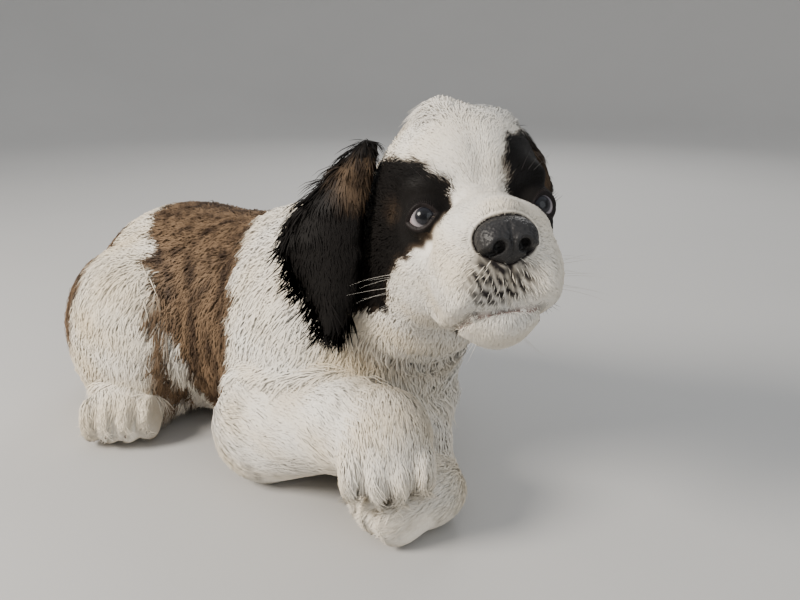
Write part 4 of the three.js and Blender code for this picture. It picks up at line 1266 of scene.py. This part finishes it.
def sweep_tree(name, material, radius):
    """Sweeps every line of the mesh to a thin round hair that follows its taper."""
    tree = bpy.data.node_groups.new(name, "GeometryNodeTree")
    face = tree.interface
    face.new_socket("Geometry", in_out="INPUT", socket_type="NodeSocketGeometry")
    thick = face.new_socket("Root radius", in_out="INPUT", socket_type="NodeSocketFloat")
    thick.default_value = radius
    face.new_socket("Geometry", in_out="OUTPUT", socket_type="NodeSocketGeometry")
    add = lambda kind: tree.nodes.new(kind)
    start, end = add("NodeGroupInput"), add("NodeGroupOutput")
    curves, ring = add("GeometryNodeMeshToCurve"), add("GeometryNodeCurvePrimitiveCircle")
    ring.inputs["Resolution"].default_value = 5
    taper, scaled = add("GeometryNodeInputNamedAttribute"), add("ShaderNodeMath")
    taper.data_type, scaled.operation = "FLOAT", "MULTIPLY"
    taper.inputs["Name"].default_value = "taper"
    sweep, real = add("GeometryNodeCurveToMesh"), add("GeometryNodeRealizeInstances")
    paint = add("GeometryNodeSetMaterial")
    sweep.inputs["Fill Caps"].default_value = True
    paint.inputs["Material"].default_value = material
    link = tree.links.new
    chain = (start, curves, sweep, real, paint, end)
    for source, target in zip(chain, chain[1:]):
        link(source.outputs[0], target.inputs[0])
    link(taper.outputs["Attribute"], scaled.inputs[0])
    link(start.outputs["Root radius"], scaled.inputs[1])
    link(ring.outputs["Curve"], sweep.inputs["Profile Curve"])
    link(scaled.outputs[0], sweep.inputs["Scale"])
    ring.inputs["Radius"].default_value = 1.0
    return tree, thick.identifier


def swept(name, rows, material, radius):
    places, edges, thin = hairs_from(rows)
    mesh = bpy.data.meshes.new(name)
    mesh.from_pydata(metres(places).tolist(), edges, [])
    layer = mesh.attributes.new("taper", "FLOAT", "POINT")
    layer.data.foreach_set("value", np.array(thin, np.float32))
    carrier = in_scene(name + "_lines", mesh)
    modifier = carrier.modifiers.new("sweep", "NODES")
    modifier.node_group, key = sweep_tree(name, material, radius)
    modifier[key] = radius
    shown = carrier.evaluated_get(bpy.context.evaluated_depsgraph_get())
    solid = bpy.data.meshes.new_from_object(shown)
    bpy.data.objects.remove(carrier)
    solid.name = name
    piece = in_scene(name, solid)
    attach(piece, "root")
    return piece


def reach(start, way):
    """Where a line from inside the head leaves the skin, in the head's frame."""
    start, way = np.array(start, float), unit(np.array(way, float))
    far = np.linspace(0, 90, 361)
    value = skin_field(HEAD.out(start + far[:, None] * way), False)
    return start + way * far[np.argmax(value > 0)]


draw = np.random.default_rng(41)
whisker_rows, lash_rows = [], []
for side in SIDES:
    for row, height in enumerate((-22, -29, -36)):
        for n in range(4):
            root = reach((78 - 7 * n, side * 4, height), (0.42 - 0.18 * n, side, -0.05))
            ahead = 0.15 - 0.28 * n + draw.normal(0, 0.05)
            way = (ahead, side, 0.10 - 0.12 * row + draw.normal(0, 0.05))
            long = draw.uniform(24, 40) + 3 * n
            whisker_rows.append((root, way, long, draw.uniform(0.05, 0.2)))
    for n in range(3):
        root = reach((52, side * 20, 18), (0.7, side * (0.25 + 0.25 * n), 0.7))
        lash_rows.append((root, (0.5, side * (0.4 + 0.3 * n), 1.0), draw.uniform(12, 18), 0.05))
    for n in range(3):
        root = reach((72, side * 3, -52), (0.4 - 0.3 * n, side * 0.7, -0.8))
        whisker_rows.append((root, (0.4 - 0.3 * n, side * 0.6, -0.8), draw.uniform(12, 18), -0.1))
    for n in range(15):
        inward = np.linspace(-7.6, 7.0, 15)[n]
        share = inward / EYE_OPENING[0]
        up = EYE_OPENING[1] * (1 - share**2) + EYE_SLANT * share + 0.7
        ahead = math.sqrt(max((EYE_RADIUS + 1.4) ** 2 - inward**2 - up**2, 1))
        root = EYE[side] + eye_turn(side) @ np.array((ahead, -side * inward, up))
        way = eye_turn(side) @ np.array((1.0, side * -0.05 * inward, 0.35))
        lash_rows.append((root, way, draw.uniform(3.5, 5.5), -0.25))
bristle = Nodes("whisker")
tone = bristle.mix(bristle.noise(300, 2), (0.75, 0.72, 0.66, 1), (0.5, 0.46, 0.4, 1))
whiskers = swept("whiskers", whisker_rows, bristle.finish(Base_Color=tone, Roughness=0.35), 0.00013)
dark_bristle = Nodes("lash")
speckle = dark_bristle.noise(300, 2)
tone = dark_bristle.mix(speckle, (0.02, 0.014, 0.012, 1), (0.008, 0.006, 0.006, 1))
dark_bristle = dark_bristle.finish(Base_Color=tone, Roughness=0.4)
lashes = swept("lashes", lash_rows, dark_bristle, 0.00016)

# The studio
# A plain pale paper floor that curves up all round, far out, into a backdrop. A broad soft light
# comes from the puppy's right, a weak fill from its head end, and one from behind that lifts the
# edge of the coat.
FLOOR_RADIUS, SWEEP, BACKDROP_HEIGHT = 2.3, 1.1, 2.3
sweep = [math.radians(a) for a in range(0, 91, 10)]
profile = [(0.4, 0), (1.0, 0), (1.7, 0)]
profile += [(FLOOR_RADIUS + SWEEP * math.sin(a), SWEEP * (1 - math.cos(a))) for a in sweep]
profile.append((FLOOR_RADIUS + SWEEP, BACKDROP_HEIGHT))
FLOOR_SIDES = 96
verts = [(0, 0, 0)]
for out, high in profile:
    for k in range(FLOOR_SIDES):
        turn = 2 * math.pi * k / FLOOR_SIDES
        verts.append((out * math.cos(turn), out * math.sin(turn), high))
faces = [(0, 1 + k, 1 + (k + 1) % FLOOR_SIDES) for k in range(FLOOR_SIDES)]
for ring in range(len(profile) - 1):
    for k in range(FLOOR_SIDES):
        a, b = 1 + ring * FLOOR_SIDES + k, 1 + ring * FLOOR_SIDES + (k + 1) % FLOOR_SIDES
        faces.append((a, a + FLOOR_SIDES, b + FLOOR_SIDES, b))
floor_mesh = whole_mesh("studio_floor", verts, faces)
paper = Nodes("studio_paper")
tone = paper.mix(paper.noise(3, 3), (0.47, 0.465, 0.455, 1), (0.44, 0.435, 0.425, 1))
floor_mesh.materials.append(paper.finish(Base_Color=tone, Roughness=0.9))
floor = in_scene("studio_floor", floor_mesh)

LIGHTS = (  # name, place, target, size, power and colour
    ("key", (-0.6, -1.3, 1.05), (0.05, -0.02, 0.12), 0.7, 50, (1.0, 0.93, 0.84)),
    ("fill", (1.5, -0.5, 0.7), (0.05, 0, 0.12), 1.4, 7, (0.90, 0.95, 1.0)),
    ("edge", (-0.5, 1.5, 1.3), (0, 0, 0.1), 0.9, 14, (1.0, 0.98, 0.95)),
)
for name, place, target, size, power, colour in LIGHTS:
    light = bpy.data.lights.new(name, "AREA")
    light.shape, light.size, light.energy, light.color = "DISK", size, power, colour
    lamp = in_scene(name, light)
    lamp.location = Vector(place)
    lamp.rotation_euler = (Vector(target) - Vector(place)).to_track_quat("-Z", "Y").to_euler()
world = bpy.data.worlds.new("studio")
world.use_nodes = True
sky = world.node_tree.nodes["Background"].inputs
sky["Color"].default_value, sky["Strength"].default_value = (0.80, 0.83, 0.87, 1), 0.8
bpy.context.scene.world = world
